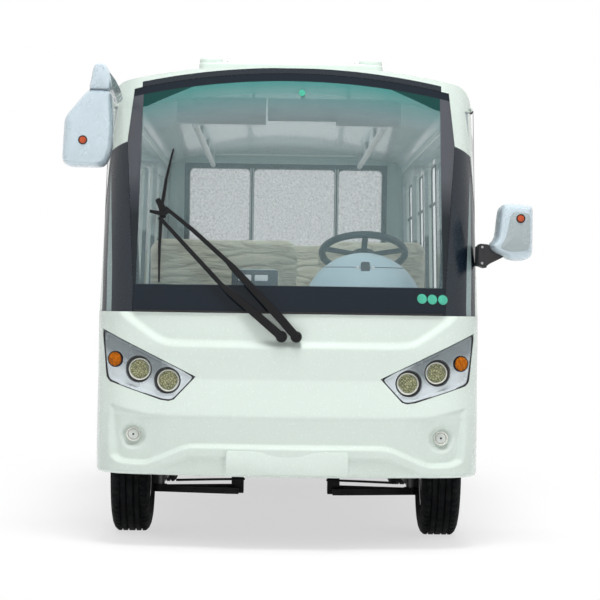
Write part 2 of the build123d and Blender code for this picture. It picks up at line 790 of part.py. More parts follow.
# Rack bar with its end eyes over the steering arms
def rack_bar():
    y = AXLE_FRONT_Y + STEER_ARM
    low = TIE_Z - RACK_EYE_DOWN
    high = TIE_Z + RACK_EYE_UP
    eyes = [rod_z(side * STEER_ARM_X, y, low, high, RACK_EYE_R) for side in (1, -1)]
    return joined([rod_x(-STEER_ARM_X, STEER_ARM_X, y, TIE_Z, RACK_R)] + eyes)


def leaf_spring(side):
    """One leaf spring with its axle pad and hangers."""
    y = AXLE_REAR_Y
    x0 = side * (SPRING_X - SPRING_HALF_WIDTH)
    x1 = side * (SPRING_X + SPRING_HALF_WIDTH)
    y0 = y - SPRING_SPAN / 2
    y1 = y + SPRING_SPAN / 2
    tip = SPRING_END_Z + SPRING_TIP_THICK
    lower = ThreePointArc((y0, SPRING_END_Z), (y, SPRING_Z), (y1, SPRING_END_Z))
    upper = ThreePointArc((y1, tip), (y, SPRING_Z + SPRING_THICK), (y0, tip))
    face = Plane.YZ * make_face([lower, Line(lower @ 1, upper @ 0), upper, Line(upper @ 1, lower @ 0)])
    pad_top = SPRING_Z + SPRING_PAD_IN
    pieces = [
        Pos(side * SPRING_X, 0, 0) * extrude(face, amount=SPRING_HALF_WIDTH, both=True),
        block(x0, x1, y - SPRING_PAD_HALF, y + SPRING_PAD_HALF, AXLE_Z, pad_top),
    ]
    low = SPRING_END_Z - SPRING_HANGER_DROP
    for end in (y0, y1):
        hanger = block(x0, x1, end - SPRING_HANGER_HALF, end + SPRING_HANGER_HALF, low, FLOOR_Z - SEAT_PLAY)
        pieces.append(hanger)
    return joined(pieces)


# Rear axle on its leaf springs
def rear_axle():
    y = AXLE_REAR_Y
    pieces = [
        rod_x(-COLLAR_END_X, COLLAR_END_X, y, AXLE_Z, AXLE_TUBE_R),
        rod_x(-(WHEEL_X + STUB_END), WHEEL_X + STUB_END, y, AXLE_Z, STUB_R),
        Pos(0, y, AXLE_Z) * Sphere(BULB_R),
        rod_y(0, y, y + NECK_END, AXLE_Z, NECK_R),
    ]
    for side in (1, -1):
        x1 = side * (BACKPLATE_X + BACKPLATE_THICK)
        pieces.append(rod_x(side * BACKPLATE_X, x1, y, AXLE_Z, BACKPLATE_R))
        pieces.append(leaf_spring(side))
    return joined(pieces)


def motor():
    y = AXLE_REAR_Y + NECK_END + SEAT_PLAY
    return rod_y(0, y, y + MOTOR_LENGTH, AXLE_Z, MOTOR_R)


def battery_box():
    half = BATTERY_LENGTH / 2
    box = block(-BATTERY_HALF, BATTERY_HALF, -half, half, BATTERY_LOW_Z, RAIL_LOW_Z - SEAT_PLAY)
    return fillet(box.edges().filter_by(Axis.Z), BATTERY_CORNER_R)


# One wheel about the X axis at the origin, its outer side towards +X
def wheel_rim():
    half = RIM_HALF
    low = BEAD_R - RIM_FLANGE_DROP
    high = BEAD_R + RIM_FLANGE_RISE
    barrel = [
        (-half - RIM_FLANGE, low),
        (-half - RIM_FLANGE, high),
        (-half, high),
        (-half, BEAD_R),
        (half, BEAD_R),
        (half, high),
        (half + RIM_FLANGE, high),
        (half + RIM_FLANGE, low),
    ]
    root = HUB_R - DISC_THICK
    belly = BEAD_R - DISC_DROP
    edge = BEAD_R - DRUM_WALL
    disc = [
        (RIM_DISC_X, root),
        (RIM_DISC_X + DISC_BULGE, belly),
        (RIM_DISC_X - DISC_THICK / 2, edge),
        (RIM_DISC_X + DISC_THICK / 2, edge),
        (RIM_DISC_X + DISC_BULGE + DISC_THICK, belly),
        (RIM_DISC_X + DISC_THICK, root),
    ]
    turned = [revolve(make_face(Polyline(*points, close=True)), axis=Axis.X) for points in (barrel, disc)]
    drum = rod_x(-DRUM_DEPTH, RIM_DISC_X + DISC_THICK / 3, 0, 0, DRUM_R)
    drum = drum - rod_x(-HUB_BACK, RIM_DISC_X - DRUM_WALL, 0, 0, DRUM_R - DRUM_WALL)
    solid = joined(turned + [rod_x(-HUB_BACK, STUB_END + HUB_CAP, 0, 0, HUB_R), drum])
    solid = solid - rod_x(-2 * HUB_BACK, STUB_END + HUB_CLEARANCE, 0, 0, STUB_R + HUB_CLEARANCE)
    for i in range(VENT_COUNT):
        hole = rod_x(RIM_DISC_X + DISC_THICK / 2, TYRE_WIDTH / 2, 0, VENT_RING_R, VENT_R)
        solid = solid - Rot(360 / VENT_COUNT * i, 0, 0) * hole
    return solid


def tyre():
    half = TYRE_WIDTH / 2
    bead = RIM_HALF - SEAT_PLAY
    foot = BEAD_R + SEAT_PLAY
    lip = BEAD_R + RIM_FLANGE_RISE + 1
    right = [(bead, foot), (bead, lip), (half - 3, BEAD_R + TYRE_BULGE_LOW)]
    right += [(half - side, TYRE_R - down) for side, down in TYRE_SECTION]
    left = [(-x, r) for x, r in reversed(right)]
    return revolve(make_face(Polyline(*right, *left, close=True)), axis=Axis.X)


def fog_floor_y():
    """The floor of the fog lamps' dishes."""
    return skin_y(LOWER_SECTIONS, FOG_X, FOG_Z) + FOG_DISH_DEPTH


# Floor, notched round the wheel housings and the fog lamps' cups
def floor():
    plate = lower_hull(WALL + SEAT_PLAY) & block(-WIDE, WIDE, AHEAD, BEHIND, FLOOR_Z, FLOOR_TOP_Z)
    for y, arch_r, inner in WHEEL_SPACES:
        r = arch_r + HOUSING_THICK + SEAT_PLAY
        for side in (1, -1):
            plate = plate - rod_x(side * (inner - SEAT_PLAY), side * WIDE, y, AXLE_Z, r)
    end = fog_floor_y() + FOG_BACK + FOG_TO_FLOOR
    for side in (1, -1):
        plate = plate - rod_y(side * FOG_X, AHEAD, end, FOG_Z, FOG_DISH_R + 2 * FOG_CUP_WALL)
    return plate


# A tub over each wheel
def wheel_housings():
    edge = INNER_HALF_WIDTH - SEAT_PLAY
    tubs = []
    for y, arch_r, inner in WHEEL_SPACES:
        above = block(-WIDE, WIDE, y - 2 * arch_r, y + 2 * arch_r, HOUSING_LOW_Z, BELT_Z)
        for side in (1, -1):
            outer = rod_x(side * inner, side * edge, y, AXLE_Z, arch_r + HOUSING_THICK)
            space = rod_x(side * (inner + HOUSING_THICK), side * WIDE, y, AXLE_Z, arch_r)
            tubs.append((outer & above) - space)
    return Compound(children=tubs)


def lamp_prism(shrink):
    """The right headlamp's outline as a prism, drawn in by the shrink."""
    face = Plane.XZ * make_face(Polyline(*LAMP_OUTLINE, close=True))
    if shrink > 0:
        face = offset(face, amount=-shrink)
    return extrude(face, amount=-(FRONT_SEAM_Y - AHEAD)).moved(Location((0, AHEAD, 0)))


# Front mask: recess, sunk band, lower lip, plate panel, fog cups and lamp openings
def front_mask():
    space = block(-WIDE, WIDE, AHEAD, FRONT_SEAM_Y, SKIRT_Z, BELT_Z)
    mask = slab(lower_hull(0), lower_hull(WALL), space)
    band_floor = hull(BAND_SECTIONS, 0)
    recess = front_prism(mirrored(RECESS_OUTLINE), AHEAD, FRONT_SEAM_Y) - lower_hull(RECESS_DEPTH)
    band = front_prism(mirrored(BAND_OUTLINE), AHEAD, BAND_REAR_Y) - band_floor
    mask = mask - recess - band
    for cutter in both_sides(front_prism(LIP_OUTLINE, AHEAD, BAND_REAR_Y) - lower_hull(LIP_DEPTH)):
        mask = mask - cutter
    face_y = FRONT_Y + PLATE_SETBACK
    mask = mask - block(-PLATE_HALF, PLATE_HALF, AHEAD, face_y, PLATE_LOW_Z, PLATE_TOP_Z)
    mask = mask + block(-PLATE_HALF, PLATE_HALF, face_y, face_y + PLATE_PAD_THICK, PLATE_LOW_Z, PLATE_TOP_Z)
    floor_y = fog_floor_y()
    for side in (1, -1):
        x = side * FOG_X
        cup = rod_y(x, floor_y - FOG_DISH_DEPTH, floor_y + FOG_BACK, FOG_Z, FOG_DISH_R + FOG_CUP_WALL)
        mask = mask + (cup & band_floor) - rod_y(x, AHEAD, floor_y, FOG_Z, FOG_DISH_R)
    for hole in both_sides(lamp_prism(0)):
        mask = mask - hole
    return mask


# Headlamp housings with a round dish for each lamp
def headlamp_units():
    unit = slab(lower_hull(LAMP_INSET), lower_hull(LAMP_INSET + LAMP_THICK), lamp_prism(LAMP_PLAY))
    for x, z, r in LAMPS:
        floor_y = skin_y(LOWER_SECTIONS, x, z) + LAMP_INSET + LAMP_DISH_DEPTH
        unit = unit - rod_y(x, AHEAD, floor_y, z, r)
    return Compound(children=both_sides(unit))


# Lamps in their dishes, and the fog lamps
def lamp_lenses():
    places = [(x, z, r - LENS_MARGIN, LAMP_INSET + LAMP_DISH_DEPTH) for x, z, r in LAMPS]
    places.append((FOG_X, FOG_Z, FOG_LENS_R, FOG_DISH_DEPTH))
    solids = []
    for x, z, r, depth in places:
        back = skin_y(LOWER_SECTIONS, x, z) + depth - SEAT_PLAY
        for side in (1, -1):
            solids.append(rod_y(side * x, back - LENS_THICK, back, z, r))
    return Compound(children=solids)


def screen_prism(shrink, low):
    """The windscreen's outline as a prism, drawn in by the shrink, with its arched top edge."""
    foot, knee, bulge, corner = SCREEN_OUTLINE
    right = [
        (foot[0] - shrink, low),
        (knee[0] - shrink, knee[1]),
        (bulge[0] - shrink, bulge[1]),
        (corner[0] - shrink, corner[1] - shrink),
    ]
    left = [(-x, z) for x, z in reversed(right)]
    edges = [
        Polyline(*right),
        ThreePointArc(right[-1], (0, SCREEN_TOP_Z - shrink), left[0]),
        Polyline(*left),
        Line(left[-1], right[0]),
    ]
    face = Plane.XZ * make_face(edges)
    return extrude(face, amount=-(FRONT_SEAM_Y - AHEAD)).moved(Location((0, AHEAD, 0)))


def cover_prism(shrink):
    """The black corner cover's outline as a prism, drawn in by the shrink."""
    x0, z0 = SCREEN_OUTLINE[1]
    x1, z1 = SCREEN_OUTLINE[2]
    top_x = x0 + (x1 - x0) * (COVER_TOP_Z - z0) / (z1 - z0)
    gap = COVER_GAP + shrink
    points = [
        (x0 + gap, BELT_Z + shrink),
        (x0 + gap, z0),
        (top_x + gap, COVER_TOP_Z - shrink),
        (WIDE, COVER_TOP_Z - shrink),
        (WIDE, BELT_Z + shrink),
    ]
    return front_prism(points, AHEAD, COVER_REAR_Y - shrink)


# Windscreen frame with its rebates, from the belt to the roof's front edge
def windscreen_frame():
    space = block(-WIDE, WIDE, AHEAD, FRONT_SEAM_Y, BELT_Z, ABOVE)
    frame = slab(upper_hull(0), upper_hull(WALL), space)
    rebate_floor = upper_hull(SCREEN_REBATE)
    frame = frame - (screen_prism(0, BELT_Z - SCREEN_REBATE) - rebate_floor)
    for cutter in both_sides(cover_prism(0)):
        frame = frame - (cutter - rebate_floor)
    return frame - screen_prism(SCREEN_FLANGE, BELT_Z + SCREEN_FLANGE)


def corner_covers():
    outer = upper_hull(SEAT_PLAY)
    inner = upper_hull(SCREEN_REBATE - SEAT_PLAY)
    return Compound(children=both_sides(slab(outer, inner, cover_prism(SEAT_PLAY))))


def windscreen():
    outer = upper_hull(SCREEN_PLAY)
    inner = upper_hull(SCREEN_REBATE - SEAT_PLAY)
    return slab(outer, inner, screen_prism(SCREEN_PLAY, BELT_Z + SCREEN_PLAY))


def door_cutter(side, y0, y1, gap):
    """The space of one door in its wall."""
    x0 = side * (INNER_HALF_WIDTH - WALL)
    return block(x0, side * WIDE, y0 + gap, y1 - gap, DOOR_LOW_Z + gap, DOOR_TOP_Z - gap)


def hinge_place(side, y0):
    """The hinge axis at a door's front edge."""
    return side * (BODY_HALF_WIDTH + HINGE_OUT), y0 + DOOR_GAP / 2


def wall_hinges(side, y0):
    """Pins and lugs on the wall ahead of one door."""
    x, y = hinge_place(side, y0)
    face = side * BODY_HALF_WIDTH
    out = face + side * HINGE_PLATE
    root = face - side * HINGE_ROOT
    proud = face + side * HINGE_FACE_PLAY
    half = HINGE_BARREL / 2
    pieces = []
    for z in HINGE_ZS:
        pieces.append(rod_z(x, y, z - half, z + half, HINGE_PIN_R))
        for low, high in ((z - half, z - half + HINGE_LUG), (z + half - HINGE_LUG, z + half)):
            pieces.append(rod_z(x, y, low, high, HINGE_BARREL_R))
            pieces.append(block(root, out, y - HINGE_STRAP, y - DOOR_GAP / 2, low, high))
            pieces.append(block(proud, out, y - HINGE_STRAP, y, low, high))
    return joined(pieces)


def door_hinges(side, y0):
    """Barrels and straps on one door."""
    x, y = hinge_place(side, y0)
    face = side * BODY_HALF_WIDTH
    out = face + side * HINGE_PLATE
    root = face - side * HINGE_ROOT
    proud = face + side * HINGE_FACE_PLAY
    leaf_y = y + DOOR_GAP / 2 + 1
    half = HINGE_BARREL / 2 - HINGE_LUG - HINGE_PLAY
    pieces = []
    for z in HINGE_ZS:
        pieces.append(rod_z(x, y, z - half, z + half, HINGE_BARREL_R))
        pieces.append(block(proud, out, y, y + HINGE_STRAP, z - half, z + half))
        pieces.append(block(root, out, leaf_y, y + HINGE_STRAP, z - half, z + half))
    return joined(pieces)


def hinge_bores(side, y0):
    """The hinge pins' running bores."""
    x, y = hinge_place(side, y0)
    r = HINGE_PIN_R + HINGE_PLAY
    return [rod_z(x, y, z - HINGE_BARREL, z + HINGE_BARREL, r) for z in HINGE_ZS]


def side_windows():
    """Side, front edge and rear edge of each fixed window."""
    rows = []
    for side, door_rear in ((1, CAB_DOOR_REAR_Y), (-1, SALOON_DOOR_REAR_Y)):
        rows.append((side, FRONT_SEAM_Y + WINDOW_PILLAR, CAB_DOOR_Y - WINDOW_PILLAR))
        start = door_rear + WINDOW_PILLAR
        pitch = (REAR_SEAM_Y - REAR_PILLAR + WINDOW_PILLAR - start) / WINDOW_BAYS
        for i in range(WINDOW_BAYS):
            rows.append((side, start + i * pitch, start + (i + 1) * pitch - WINDOW_PILLAR))
    return rows


@cache
def side_shell():
    """Both side walls' shell from the skirt to the roof seam."""
    low = block(-WIDE, WIDE, FRONT_SEAM_Y, REAR_SEAM_Y, SKIRT_Z, BELT_Z)
    high = block(-WIDE, WIDE, FRONT_SEAM_Y, REAR_SEAM_Y, BELT_Z, ROOF_SEAM_Z)
    return slab(lower_hull(0), lower_hull(WALL), low) + slab(upper_hull(0), upper_hull(WALL), high)


# Side walls with their window, door and wheel openings
def side_wall(side):
    wall = side_shell() & block(0, side * WIDE, FRONT_SEAM_Y, REAR_SEAM_Y, SKIRT_Z, ROOF_SEAM_Z)
    for y, arch_r, inner in WHEEL_SPACES:
        wall = wall - rod_x(side * (INNER_HALF_WIDTH - WALL), side * WIDE, y, AXLE_Z, arch_r)
    for window_side, y0, y1 in side_windows():
        if window_side == side:
            wall = wall - side_opening(side, y0, y1, WINDOW_LOW_Z, WINDOW_TOP_Z, WINDOW_CORNER_R)
    for name, door_side, y0, y1 in DOORS:
        if door_side == side:
            wall = wall - door_cutter(side, y0, y1, 0) + wall_hinges(side, y0)
    return wall


def door_window(side, y0, y1, shrink):
    """The cutter for one door's window."""
    margin = DOOR_WINDOW_MARGIN + shrink
    low = WINDOW_LOW_Z + shrink
    high = WINDOW_TOP_Z - DOOR_WINDOW_DROP - shrink
    return side_opening(side, y0 + margin, y1 - margin, low, high, WINDOW_CORNER_R)


def door_leaf(side, y0, y1):
    leaf = (side_shell() & door_cutter(side, y0, y1, DOOR_GAP)) - door_window(side, y0, y1, 0)
    leaf = leaf + door_hinges(side, y0)
    for bore in hinge_bores(side, y0):
        leaf = leaf - bore
    return leaf


def side_pane(cutter):
    """Glass in one opening of a side."""
    return slab(upper_hull(GLASS_INSET), upper_hull(GLASS_INSET + GLASS_THICK), cutter)


def rear_panes():
    """The rear window's panes, as low and high X between the mullions."""
    half = MULLION_WIDTH / 2
    lows = [-REAR_WINDOW_HALF] + [x + half for x in REAR_MULLION_XS]
    highs = [x - half for x in REAR_MULLION_XS] + [REAR_WINDOW_HALF]
    return list(zip(lows, highs))


def rear_pane(x0, x1, shrink, y0, y1):
    """A prism with rounded corners over one rear pane."""
    width = x1 - x0 - 2 * shrink
    height = REAR_WINDOW_TOP_Z - REAR_WINDOW_LOW_Z - 2 * shrink
    middle = Pos((x0 + x1) / 2, (REAR_WINDOW_LOW_Z + REAR_WINDOW_TOP_Z) / 2)
    face = Plane.XZ * middle * RectangleRounded(width, height, REAR_PANE_R)
    return extrude(face, amount=-(y1 - y0)).moved(Location((0, y0, 0)))


# Fixed glass of the sides and the rear window
def fixed_glass():
    panes = []
    low = WINDOW_LOW_Z + SEAT_PLAY
    high = WINDOW_TOP_Z - SEAT_PLAY
    for side, y0, y1 in side_windows():
        cutter = side_opening(side, y0 + SEAT_PLAY, y1 - SEAT_PLAY, low, high, WINDOW_CORNER_R)
        panes.append(side_pane(cutter))
    face_y = REAR_Y - GLASS_INSET
    for x0, x1 in rear_panes():
        panes.append(rear_pane(x0, x1, SEAT_PLAY, face_y - GLASS_THICK, face_y))
    return Compound(children=panes)


def tail_block(side, shrink):
    """The space of one tail lamp."""
    x0 = side * (TAIL_IN + shrink)
    x1 = side * (TAIL_OUT - shrink)
    return block(x0, x1, REAR_Y - TAIL_WRAP, BEHIND, TAIL_LOW_Z + shrink, TAIL_TOP_Z - shrink)


# Rear wall with its window frame, tail lamp pockets and bumper
def rear_wall():
    low = slab(lower_hull(0), lower_hull(WALL), block(-WIDE, WIDE, REAR_SEAM_Y, BEHIND, SKIRT_Z, BELT_Z))
    high = slab(upper_hull(0), upper_hull(WALL), block(-WIDE, WIDE, REAR_SEAM_Y, BEHIND, BELT_Z, ABOVE))
    wall = low + high
    for x0, x1 in rear_panes():
        wall = wall - rear_pane(x0, x1, 0, REAR_SEAM_Y, BEHIND)
    for side in (1, -1):
        wall = wall - (tail_block(side, 0) - lower_hull(TAIL_THICK))
    y1 = REAR_Y + BUMPER_PROUD
    bumper = block(-BUMPER_HALF, BUMPER_HALF, REAR_Y - WALL / 2, y1, BUMPER_LOW_Z, BUMPER_TOP_Z)
    return wall + fillet(bumper.edges().filter_by(Axis.X), BUMPER_EDGE_R)


def tail_lamps():
    ring = lower_hull(-TAIL_PROUD) - lower_hull(TAIL_THICK - SEAT_PLAY)
    return Compound(children=[ring & tail_block(side, SEAT_PLAY) for side in (1, -1)])


def roof():
    space = block(-WIDE, WIDE, FRONT_SEAM_Y, REAR_SEAM_Y, ROOF_SEAM_Z, ABOVE)
    return slab(upper_hull(0), upper_hull(WALL), space)


# Roof pod with two end lobes
def roof_pod():
    y1 = POD_FRONT_Y + POD_LENGTH
    low = ROOF_Z - POD_SUNK
    shapes = [(-POD_HALF, POD_HALF, POD_FRONT_Y, y1, POD_TOP_Z)]
    for side in (1, -1):
        x0 = side * (POD_HALF - POD_LOBE)
        x1 = side * (POD_HALF - LOBE_INSET)
        shapes.append((x0, x1, POD_FRONT_Y + LOBE_INSET, y1 - LOBE_INSET, POD_LOBE_TOP_Z))
    pieces = []
    for x0, x1, front, rear, top in shapes:
        piece = block(x0, x1, front, rear, low, top)
        piece = fillet(piece.edges().filter_by(Axis.Z), POD_CORNER_R)
        pieces.append(fillet(piece.edges().group_by(Axis.Z)[-1], POD_EDGE_R))
    return joined(pieces) - upper_hull(-SEAT_PLAY)


# Wiper: two parallel arms, one blade
def wiper():
    def on_glass(place, off):
        x, up = place
        z = BELT_Z + up
        return (x, skin_y(UPPER_SECTIONS, x, z) - WIPER_STANDOFF - off, z)

    pieces = []
    for pivot_x, knee, head in WIPER_ARMS:
        seat_y = skin_y(LOWER_SECTIONS, 0, WIPER_PIVOT_Z - WIPER_CAP_R) + RECESS_DEPTH
        foot_y = seat_y - WIPER_SPINDLE
        foot = (pivot_x, foot_y, WIPER_PIVOT_Z)
        points = [foot, on_glass(knee, WIPER_KNEE_OFF), on_glass(head, WIPER_HEAD_OFF)]
        pieces.append(rod_y(pivot_x, foot_y - WIPER_CAP, seat_y - SEAT_PLAY, WIPER_PIVOT_Z, WIPER_CAP_R))
        pieces.append(bent_rod(points, WIPER_BAR / 2))
    blade = [on_glass(place, WIPER_BLADE_OFF) for place in WIPER_BLADE]
    joints = [on_glass(head, WIPER_HEAD_OFF) for pivot_x, knee, head in WIPER_ARMS] + [blade[1]]
    pieces.append(bent_rod(blade, WIPER_BAR / 2 + 1))
    pieces += [rod(a, b, WIPER_LINK_R) for a, b in zip(joints, joints[1:])]
    pieces += [Pos(*p) * Sphere(WIPER_JOINT_R) for p in joints]
    return joined(pieces)


def mirror_unit(shell, arm, ys):
    """A mirror's shell with rounded edges, and the arm that meets the body."""
    shell_front, shell_rear, arm_front, arm_rear, edge_r = ys
    body = front_prism(shell, FRONT_Y + shell_front, FRONT_Y + shell_rear)
    body = fillet(body.edges().filter_by(Axis.Y, reverse=True), edge_r)
    return body + (front_prism(arm, FRONT_Y + arm_front, FRONT_Y + arm_rear) - upper_hull(-SEAT_PLAY))


# Right mirror, hung from the roof's corner
def mirror_right():
    shell = [(-(BODY_HALF_WIDTH + out), ROOF_Z - down) for out, down in MIRROR_RIGHT_OUTLINE]
    arm = [(-(BODY_HALF_WIDTH + out), ROOF_Z - down) for out, down in MIRROR_RIGHT_ARM]
    return mirror_unit(shell, arm, MIRROR_RIGHT_YS)


# Left mirror, on a bracket above the belt
def mirror_left():
    shell = [(BODY_HALF_WIDTH + out, BELT_Z + up) for out, up in MIRROR_LEFT_OUTLINE]
    arm = [(BODY_HALF_WIDTH + out, BELT_Z + up) for out, up in MIRROR_LEFT_ARM]
    return mirror_unit(shell, arm, MIRROR_LEFT_YS)


def column_point(down):
    """A point on the steering axis, at a distance below the steering wheel's centre."""
    x, y, z = WHEEL_CENTRE
    turn = math.radians(STEERING_TILT)
    return (x, y - down * math.sin(turn), z - down * math.cos(turn))


# Dashboard with its dome, console and steering column
def dashboard():
    fit = WALL + SEAT_PLAY
    low = block(-DASH_HALF, DASH_HALF, AHEAD, DASH_REAR_Y, DASH_LOW_Z, BELT_Z) & lower_hull(fit)
    high = block(-DASH_HALF, DASH_HALF, AHEAD, DASH_REAR_Y, BELT_Z, DASH_TOP_Z) & upper_hull(fit)
    rise = DOME_TOP_Z - DASH_TOP_Z
    ball_r = (DOME_R ** 2 + rise ** 2) / (2 * rise)
    ball = Pos(DOME_X, DOME_Y, DOME_TOP_Z - ball_r) * Sphere(ball_r)
    room = block(0, 2 * DOME_X, AHEAD, DASH_REAR_Y + DOME_OVER, DASH_TOP_Z - WALL / 2, ABOVE)
    x0 = CONSOLE_X - CONSOLE_HALF
    x1 = CONSOLE_X + CONSOLE_HALF
    console = block(x0, x1, DASH_REAR_Y - CONSOLE_DEPTH, DASH_REAR_Y, DASH_TOP_Z - WALL / 2, CONSOLE_TOP_Z)
    console = fillet(console.edges().group_by(Axis.Z)[-1], CONSOLE_EDGE_R)
    body = low + high + (ball & room & upper_hull(fit)) + console
    x = WHEEL_CENTRE[0]
    column = rod(column_point(COLUMN_TOP), column_point(COLUMN_FOOT), COLUMN_R)
    column = column & block(0, 2 * x, AHEAD, 0, FLOOR_TOP_Z + SEAT_PLAY, ROOF_Z)
    along, end_y, z = column_point(BRACKET_DOWN)
    x0 = x - BRACKET_HALF
    x1 = x + BRACKET_HALF
    bracket = block(x0, x1, DASH_REAR_Y - WALL, end_y, z - BRACKET_RISE, z + BRACKET_RISE)
    top = column_point(COLUMN_TOP - COLUMN_GAP)
    end = column_point(SHAFT_DOWN + SHAFT_END_PLAY)
    return body + column + bracket - rod(top, end, SHAFT_R + PIVOT_PLAY)


def steering_wheel():
    turn = math.radians(STEERING_TILT)
    plane = Plane(origin=WHEEL_CENTRE, x_dir=(1, 0, 0), z_dir=(0, math.sin(turn), math.cos(turn)))
    ring_r = STEERING_R - STEERING_RIM_R
    hub = Pos(0, 0, -STEERING_HUB / 2) * Cylinder(STEERING_HUB_R, STEERING_HUB)
    wheel = Torus(ring_r, STEERING_RIM_R) + hub
    for angle in SPOKE_ANGLES:
        spoke = Pos(ring_r / 2, 0, -SPOKE_THICK) * Box(ring_r, SPOKE_WIDTH, SPOKE_THICK)
        wheel = wheel + Rot(0, 0, angle) * spoke
    for down, r in ((COLUMN_TOP - COLUMN_GAP, SLEEVE_R), (SHAFT_DOWN, SHAFT_R)):
        wheel = wheel + Pos(0, 0, -(SLEEVE_TOP + down) / 2) * Cylinder(r, down - SLEEVE_TOP)
    return plane * wheel


def seat(y, x0, x1):
    """A cushion and its leaning back, whose foot ends at a given Y."""
    lean = BACK_HEIGHT * math.tan(math.radians(BACK_LEAN))
    front = y - BACK_THICK - SEAT_PLAY
    cushion = block(x0, x1, front - CUSHION_DEPTH, front, SEAT_BASE_Z, SEAT_BASE_Z + CUSHION_THICK)
    outline = [
        (y - BACK_THICK, SEAT_BASE_Z),
        (y, SEAT_BASE_Z),
        (y + lean, BACK_TOP_Z),
        (y + lean - BACK_THICK, BACK_TOP_Z),
    ]
    back = extrude(Plane.YZ * make_face(Polyline(*outline, close=True)), amount=x1 - x0)
    solids = [cushion, back.moved(Location((x0, 0, 0)))]
    return [fillet(solid.edges().group_by(Axis.Z)[-1], SEAT_EDGE_R) for solid in solids]


def seats(rows):
    solids = []
    for y, x0, x1 in rows:
        solids += seat(y, x0, x1)
    return Compound(children=solids)


def seat_bases():
    solids = []
    for y, x0, x1 in FRONT_SEATS + SALOON_SEATS:
        left = max(x0 + BASE_INSET, -BASE_OUT)
        right = min(x1 - BASE_INSET, BASE_OUT)
        front = y - BACK_THICK - CUSHION_DEPTH + BASE_TOE
        low = FLOOR_TOP_Z + SEAT_PLAY
        solids.append(block(left, right, front, y - BASE_HEEL, low, SEAT_BASE_Z - SEAT_PLAY))
    return Compound(children=solids)


# Sun visors, cabin mirror and grab rails, all hung from the ceiling
def cabin_fittings():
    pieces = []
    y = skin_y(UPPER_SECTIONS, 0, VISOR_TOP_Z) + VISOR_BEHIND
    y1 = y + VISOR_THICK
    for x0, x1 in VISORS:
        visor = block(x0, x1, y, y1, VISOR_LOW_Z, VISOR_TOP_Z)
        for x in (x0 + VISOR_ROD_IN, x1 - VISOR_ROD_IN):
            visor = visor + rod_z(x, (y + y1) / 2, VISOR_LOW_Z, ABOVE, VISOR_ROD_R)
        pieces.append(visor)
    y = y + CABIN_MIRROR_BEHIND
    y1 = y + CABIN_MIRROR_THICK
    x0 = CABIN_MIRROR_X - CABIN_MIRROR_HALF
    x1 = CABIN_MIRROR_X + CABIN_MIRROR_HALF
    z0 = VISOR_LOW_Z + CABIN_MIRROR_LOW
    glass = block(x0, x1, y, y1, z0, VISOR_LOW_Z + CABIN_MIRROR_HIGH)
    pieces.append(glass + rod_z(CABIN_MIRROR_X, (y + y1) / 2, z0, ABOVE, CABIN_MIRROR_ROD_R))
    pitch = (GRAB_REAR_Y - GRAB_FRONT_Y - 2 * GRAB_POST_IN) / (GRAB_POSTS - 1)
    for side in (1, -1):
        x = side * GRAB_X
        rail = rod_y(x, GRAB_FRONT_Y, GRAB_REAR_Y, GRAB_Z, GRAB_R)
        for i in range(GRAB_POSTS):
            rail = rail + rod_z(x, GRAB_FRONT_Y + GRAB_POST_IN + i * pitch, GRAB_Z, ABOVE, GRAB_POST_R)
        pieces.append(rail)
    ceiling = upper_hull(WALL + SEAT_PLAY)
    return Compound(children=[piece & ceiling for piece in pieces])


os.makedirs("parts", exist_ok=True)
save(chassis_rails(), "chassis_rails")
save(chassis_crossmembers(), "chassis_crossmembers")
save(front_suspension(), "front_suspension")
save(knuckle(1), "knuckle_left")
save(knuckle(-1), "knuckle_right")
save(rack_bar(), "rack_bar")
save(rear_axle(), "rear_axle")
save(motor(), "motor")
save(battery_box(), "battery_box")
one_rim = wheel_rim()
one_tyre = tyre()
for name, side, y in WHEELS:
    place = Pos(side * WHEEL_X, y, AXLE_Z) * Rot(0, 0, 0 if side > 0 else 180)
    save(place * one_rim, "rim_" + name)
    save(place * one_tyre, "tyre_" + name)
save(floor(), "floor")
save(wheel_housings(), "wheel_housings")
save(front_mask(), "front_mask")
save(headlamp_units(), "headlamp_units")
save(lamp_lenses(), "lamp_lenses")
save(windscreen_frame(), "windscreen_frame")
save(corner_covers(), "corner_covers")
save(windscreen(), "windscreen")
save(side_wall(1), "side_wall_left")
save(side_wall(-1), "side_wall_right")
for name, side, y0, y1 in DOORS:
    save(door_leaf(side, y0, y1), "door_" + name)
    save(side_pane(door_window(side, y0, y1, SEAT_PLAY)), "door_glass_" + name)
save(fixed_glass(), "fixed_glass")
save(roof(), "roof")
save(rear_wall(), "rear_wall")
save(tail_lamps(), "tail_lamps")
save(roof_pod(), "roof_pod")
save(wiper(), "wiper")
save(mirror_left(), "mirror_left")
save(mirror_right(), "mirror_right")
save(dashboard(), "dashboard")
save(steering_wheel(), "steering_wheel")
save(seats(FRONT_SEATS), "front_seats")
save(seats(SALOON_SEATS), "saloon_seats")
save(seat_bases(), "seat_bases")
save(cabin_fittings(), "cabin_fittings")
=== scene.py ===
import math

import bmesh
import bpy
import numpy as np
from mathutils import Matrix, Vector, noise


